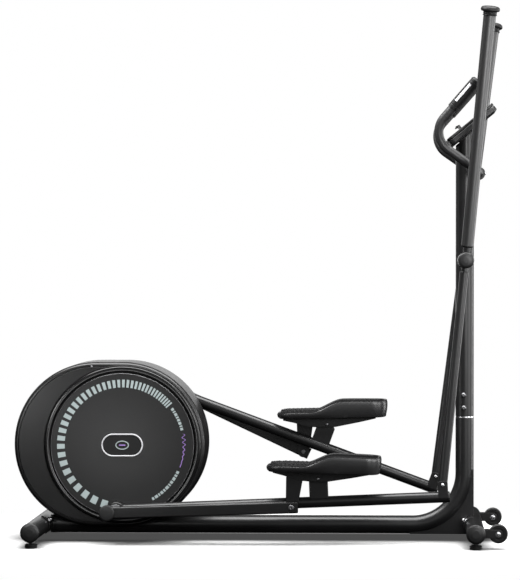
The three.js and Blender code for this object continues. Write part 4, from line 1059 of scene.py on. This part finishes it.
def control_rail(label, side, at):
    place, long = at["rail"], at["rail_long"]
    turn = place @ across(0, 0, side)
    low, high, inner, outer = -0.0175, 0.0175, 0.16, 0.19
    y = side * (inner + outer) / 2
    section = round_box(-0.015, 0.015, low, high, 0.0045, 5)
    ends = [(Vector((0.006, y, 0)), Vector((1, 0, 0))), (Vector((long + 0.02, y, 0)), Vector((1, 0, 0)))]
    bar = moved(sweep(ends, section, Vector((0, 1, 0)), 0.0008), place)
    eye = [(0.0085, inner), (0.0222, inner), (0.0232, inner + 0.001), (0.0232, 0.1905), (0.0085, 0.1905)]
    eye = turned(eye + [(0.0085, inner)], turn, sides=80)
    piece(f"{label}_rail_weldment", merged(bar, eye), PAINT, f"{label}_rail",
          f"{label}_control_rail")
    cap = [(0, 0.1905), (0.024, 0.1905), (0.0242, 0.1915), (0.0242, 0.194), (0.0232, 0.1956)]
    cap += [(0.02, 0.1966), (0.012, 0.1972), (0, 0.1974)]
    lid = turned(cap, turn, 0.001, 4, 96)
    piece(f"{label}_rail_cap", lid, PLASTIC, f"{label}_rail")
    head = [(0, 0.1895), (0.0092, 0.1895), (0.0092, 0.1908), (0.0078, 0.1922), (0.003, 0.1928)]
    head += [(0.0026, 0.1916), (0, 0.1914)]
    inner_head = [(0, 0.1512), (0.006, 0.1512), (0.007, 0.1522), (0.007, 0.1538), (0, 0.1538)]
    shank = [(0, 0.153), (0.0045, 0.153), (0.0045, 0.19), (0, 0.19)]
    pivot = place @ across(long, 0, side)
    head = turned(head, pivot, 0.0004, 3, 48)
    bolt = merged(head, lathe(inner_head, pivot, 32), lathe(shank, pivot, 24))
    piece(f"{label}_rail_bolt", bolt, PRESSED, f"{label}_rail")


# ---------------------------------------------------------------- pedals

PEDAL_BACK, PEDAL_FRONT, PEDAL_IN, PEDAL_OUT = -0.1595, 0.195, 0.08, 0.218
PEDAL_FLOOR, PEDAL_LOW, PEDAL_RIM, PEDAL_CORNER = 0.042, 0.02, 0.0745, 0.048
BRACKET_IN, BRACKET_OUT, WALL = 0.113, 0.1585, 0.004


def smooth_step(t):
    t = min(max(t, 0.0), 1.0)
    return t * t * (3 - 2 * t)


def rim_height(x):
    """The pedal's rim: low at the heel, then up over the instep to the toe."""
    heel = 0.038 + 0.003 * smooth_step((x - PEDAL_BACK) / 0.05)
    climb = (PEDAL_RIM - 0.041) * smooth_step((x + 0.052) / 0.104)
    return heel + climb - 0.0022 * smooth_step((x - 0.06) / 0.13)


def pedal_plan(inset, side):
    """The pedal's plan outline, with even points along its sides and round its corners."""
    x0, x1 = PEDAL_BACK + inset, PEDAL_FRONT - inset
    y0, y1 = PEDAL_IN + inset, PEDAL_OUT - inset
    corner = PEDAL_CORNER - inset
    points = []
    runs = [
        ((x1 - corner, y1 - corner), 0, (x0 + corner, y1), 40),
        ((x0 + corner, y1 - corner), 90, (x0, y0 + corner), 8),
        ((x0 + corner, y0 + corner), 180, (x1 - corner, y0), 40),
        ((x1 - corner, y0 + corner), 270, (x1, y1 - corner), 8),
    ]
    for centre, start, towards, count in runs:
        points += ring_points(*centre, corner, start, 90, 14)
        last = Vector(points[-1])
        points += [tuple(last.lerp(Vector(towards), k / count)) for k in range(1, count)]
    return [(x, side * y) for x, y in points]


def pedal_ring(inset, height, side, place):
    """One loop of the pedal: height is a number or depends on x."""
    level = height if callable(height) else lambda x: height
    return [place @ Vector((x, y, level(x))) for x, y in pedal_plan(inset, side)]


def pedal(label, side, at):
    place, body = at["pedal"], f"{label}_footplate"

    def share(t, drop=0.0):
        return lambda x: PEDAL_LOW + t * (rim_height(x) - PEDAL_LOW) - drop

    loops = [
        (0.02, PEDAL_LOW), (0.012, PEDAL_LOW), (0.008, PEDAL_LOW + 0.0008),
        (0.0055, PEDAL_LOW + 0.003), (0.0034, share(0.26)), (0.0016, share(0.42)),
        (0.0006, share(0.6)), (0.0002, share(0.78)), (0.0004, share(0.88)),
        (0.0014, share(1.0, 0.0024)), (0.0028, share(1.0, 0.001)), (0.0085, share(1.0, 0.001)),
        (0.0096, share(1.0, 0.0034)), (0.0104, PEDAL_FLOOR - 0.0065), (0.0112, PEDAL_FLOOR - 0.007),
    ]
    tray = skin([pedal_ring(inset, height, side, place) for inset, height in loops])
    piece(f"{label}_pedal_tray", tray, "pedal_shell", body, f"{label}_pedal", slot=PLASTIC)
    lip_loops = [
        (0.0022, share(1.0, 0.003)), (0.0016, share(1.0, 0.0012)), (0.0022, share(1.0, -0.0008)),
        (0.0042, share(1.0, -0.0018)), (0.0078, share(1.0, -0.0014)), (0.01, share(1.0, 0.0002)),
        (0.0112, share(1.0, 0.0024)), (0.0118, PEDAL_FLOOR - 0.0005), (0.01, PEDAL_FLOOR - 0.003),
        (0.009, share(1.0, 0.004)),
    ]
    lip = skin([pedal_ring(i, h, side, place) for i, h in lip_loops], loop=True)
    mat = skin([
        pedal_ring(inset, PEDAL_FLOOR + rise, side, place)
        for inset, rise in ((0.011, -0.0068), (0.011, 0.0012), (0.0122, 0.002))
    ])
    piece(f"{label}_pedal_liner", merged(lip, mat, studs(side, place)), RUBBER, body)


def studs(side, place):
    """Diamond studs over the tread, in staggered rows."""
    forms, floor, top = [], PEDAL_FLOOR + 0.0018, PEDAL_FLOOR + 0.007
    pitch_x, pitch_y, keep = 0.013, 0.009, 0.0175
    rows = int((PEDAL_OUT - PEDAL_IN - 2 * keep) / pitch_y)
    columns = int((PEDAL_FRONT - PEDAL_BACK - 2 * keep) / pitch_x)
    for row in range(rows + 1):
        for column in range(columns + 1):
            x = PEDAL_BACK + keep + pitch_x * (column + 0.5 * (row % 2))
            y = PEDAL_IN + keep + pitch_y * row
            edge = PEDAL_CORNER - keep + 0.004
            dx = max(PEDAL_BACK + keep + edge - x, x - (PEDAL_FRONT - keep - edge), 0)
            dy = max(PEDAL_IN + keep + edge - y, y - (PEDAL_OUT - keep - edge), 0)
            if math.hypot(dx, dy) > edge or x > PEDAL_FRONT - keep:
                continue
            rings = [
                [place @ Vector((x + sx * half, side * (y + sy * half * 0.66), z))
                 for sx, sy in ((1, 0), (0, 1), (-1, 0), (0, -1))]
                for half, z in ((0.0058, floor), (0.005, floor + 0.003), (0.0026, top))
            ]
            forms.append(skin(rings))
    return merged(*forms)


def pedal_bracket(label, side, at):
    place, body, top, low = at["pedal"], f"{label}_footplate", 0.0195, -0.009
    hull = rounded(
        [(-0.14, top, 0.001), (-0.14, 0.0145, 0.002), (-0.105, 0.0065), (-0.06, low + 0.002),
         (-0.03, low), (0.027, low), (0.1, 0.004), (0.157, 0.0155, 0.003), (0.157, top, 0.001)],
        0.012,
    )
    rail = -polar(0.119, LINK_ANGLE)
    tail = ring_points(rail.x, rail.y, 0.0185, 185, 170, 20)
    leg = [(-0.0455, 0.004), (-0.0985, 0.004)] + tail
    bore = ring_points(rail.x, rail.y, 0.0052, steps=28)
    deck = [(-0.139, top), (-0.139, top - WALL), (0.156, top - WALL), (0.156, top)]
    walls = merged(
        side_plate([hull], side, BRACKET_IN, BRACKET_IN + WALL, 0.0011, place),
        side_plate([hull], side, BRACKET_OUT - WALL, BRACKET_OUT, 0.0011, place),
        side_plate([rounded(leg, 0.002, 2), bore], side, 0.154, 0.158, 0.0011, place),
        side_plate([deck], side, BRACKET_IN, BRACKET_OUT, 0.0008, place),
    )
    piece(f"{label}_bracket_weldment", walls, PAINT, body, f"{label}_pedal_bracket")
    bolt = cross_bolt(place @ across(0, 0, side), BRACKET_IN, BRACKET_OUT, 0.0045, 0.0052, 0.0026)
    piece(f"{label}_pedal_bolt", bolt, PRESSED, body)


for label, side in SIDES.items():
    at = linkage(label)
    crank_side(label, side, at["pin"])
    swing_arm(label, side, at)
    swing_handle(label, side, at)
    foot_tube(label, side, at)
    control_rail(label, side, at)
    pedal(label, side, at)
    pedal_bracket(label, side, at)

# ---------------------------------------------------------------- parts kept from the CAD

SLOT_OF = {s["node"]: s["material_slot"] for s in frame["record"]["subparts"]}
for name, node in frame["nodes"].items():
    if not node.hide_render:
        node.data.materials.clear()
        node.data.materials.append(LOOKS[SLOT_OF[name]])

# ---------------------------------------------------------------- studio

FLOOR_EDGE, FLOOR_DROP = 30.0, 0.0005
FADE_FROM, FADE_TO, FADE_SQUEEZE = 0.55, 0.95, 0.62  # where the floor runs out to white
# The painted shadow under the machine: a soft grey strip in the floor's material, with its half size, shift, soft
# edge and glowing grey.
PAINTED_SHADOW_HALF, PAINTED_SHADOW_SHIFT, PAINTED_SHADOW_EDGE = (0.7, 0.07, 0.0), (0.0, -0.07, 0.0), 0.1
PAINTED_SHADOW_GREY = 0.076
NOTHING = (0.0, 0.0, 0.0)


def floor():
    """A plain pale floor that runs out to white, with a painted shadow under the machine.

    The painted shadow is a grey strip that glows in the floor's own material, so it doesn't move
    with a pose. Ambient occlusion darkens the floor's colour near the parts: painted contact shade.
    """
    material, tree, surface, add = shader("studio_floor", Roughness=0.9, Specular_IOR_Level=0.0)

    def smooth(value, start, end):
        node = add("ShaderNodeMapRange", {"Value": value}, From_Min=start, From_Max=end,
                   interpolation_type="SMOOTHSTEP")
        return node.outputs["Result"]

    def vector(operation, value, operand=NOTHING):
        return add("ShaderNodeVectorMath", {0: value, 1: operand}, operation=operation).outputs

    def maths(operation, value, operand):
        return add("ShaderNodeMath", {0: value, 1: operand}, operation=operation).outputs["Value"]

    place = add("ShaderNodeTexCoord").outputs["Object"]
    flatter = vector("MULTIPLY", place, (FADE_SQUEEZE, 1.0, 1.0))["Vector"]
    fade = smooth(vector("LENGTH", flatter)["Value"], FADE_FROM, FADE_TO)
    # Painted contact shade: the floor's colour darkens where ambient occlusion finds parts close by.
    painted_contact_shade = add("ShaderNodeAmbientOcclusion", Distance=0.12, samples=8).outputs["AO"]
    # The painted shadow strip: a soft-edged box under the machine, 0 inside and 1 outside.
    past = vector("ABSOLUTE", vector("ADD", place, PAINTED_SHADOW_SHIFT)["Vector"])["Vector"]
    past = vector("MAXIMUM", vector("SUBTRACT", past, PAINTED_SHADOW_HALF)["Vector"])["Vector"]
    painted_shadow = smooth(vector("LENGTH", past)["Value"], 0.0, PAINTED_SHADOW_EDGE)
    painted_shade = maths("MULTIPLY", maths("POWER", painted_contact_shade, 1.3), painted_shadow)
    tint = add("ShaderNodeMix", {"Factor": painted_shade}, data_type="RGBA")
    tint.inputs["A"].default_value, tint.inputs["B"].default_value = (0, 0, 0, 1), (0.8, 0.8, 0.8, 1)
    tree.links.new(tint.outputs[2], surface.inputs["Base Color"])
    # Inside the strip the floor glows a flat grey instead of taking light: a painted shadow.
    tree.links.new(maths("SUBTRACT", 1.0, painted_shadow), surface.inputs["Emission Strength"])
    surface.inputs["Emission Color"].default_value = (PAINTED_SHADOW_GREY, PAINTED_SHADOW_GREY, PAINTED_SHADOW_GREY, 1)
    glow = add("ShaderNodeEmission", Color=(1, 1, 1, 1), Strength=1.0)
    mix = add("ShaderNodeMixShader", {0: fade, 1: surface.outputs[0], 2: glow.outputs[0]})
    tree.links.new(mix.outputs[0], tree.nodes["Material Output"].inputs["Surface"])
    mesh = bpy.data.meshes.new("studio_floor")
    corners = [(x * FLOOR_EDGE, y * FLOOR_EDGE, 0) for x, y in ((-1, -1), (1, -1), (1, 1), (-1, 1))]
    mesh.from_pydata(corners, [], [(0, 1, 2, 3)])
    mesh.materials.append(material)
    ground = placed("studio_floor", mesh)
    ground.location.z = -FLOOR_DROP
    ground.visible_glossy = ground.visible_diffuse = False


def softbox(name, at, towards, size, radiance):
    """A soft rectangular lamp that shines evenly from one point towards another."""
    data = bpy.data.lights.new(name, "AREA")
    data.shape, data.size, data.size_y = "RECTANGLE", *size
    data.energy = radiance * math.pi * size[0] * size[1]
    lamp = placed(name, data)
    lamp.location = at
    lamp.rotation_euler = (Vector(towards) - Vector(at)).to_track_quat("-Z", "Y").to_euler()
    lamp.visible_camera = False


def studio():
    world = bpy.data.worlds.new("studio")
    world.use_nodes = True
    world.node_tree.nodes["Background"].inputs["Color"].default_value = (1, 1, 1, 1)
    world.cycles_visibility.glossy = world.cycles_visibility.diffuse = False
    bpy.context.scene.world = world
    bpy.context.scene.view_settings.view_transform = "Standard"
    softbox("overhead", (0.0, -0.5, 3.0), (0.0, -0.2, 0.0), (4.4, 1.8), 12.0)
    softbox("key", (1.5, -2.6, 1.5), (0.7, -0.25, 1.25), (1.0, 1.4), 8.5)
    softbox("side", (3.2, -1.4, 1.0), (0.5, 0.0, 0.6), (1.6, 1.8), 5.0)
    softbox("rim", (3.0, 0.9, 1.2), (0.6, 0.0, 0.9), (1.0, 2.8), 6.0)
    softbox("front", (0.4, -3.6, 0.85), (0.2, 0.0, 0.6), (5.0, 1.6), 0.42)
    softbox("low_fill", (1.6, -2.4, 0.5), (0.4, -0.2, 0.3), (1.2, 0.9), 1.8)
    softbox("disc_glow", (-0.53, -0.9, 0.26), (-0.427, -0.1, 0.304), (0.2, 0.2), 5.0)
    softbox("flank_glow", (-0.98, -0.8, 0.5), (-0.72, -0.1, 0.48), (0.2, 0.2), 13.0)
    softbox("left_fill", (-3.2, 0.5, 1.6), (-0.4, 0.0, 0.4), (1.6, 2.0), 0.7)
    softbox("back_fill", (-0.6, 3.6, 1.2), (0.0, 0.0, 0.6), (2.4, 1.6), 1.4)


floor()
studio()
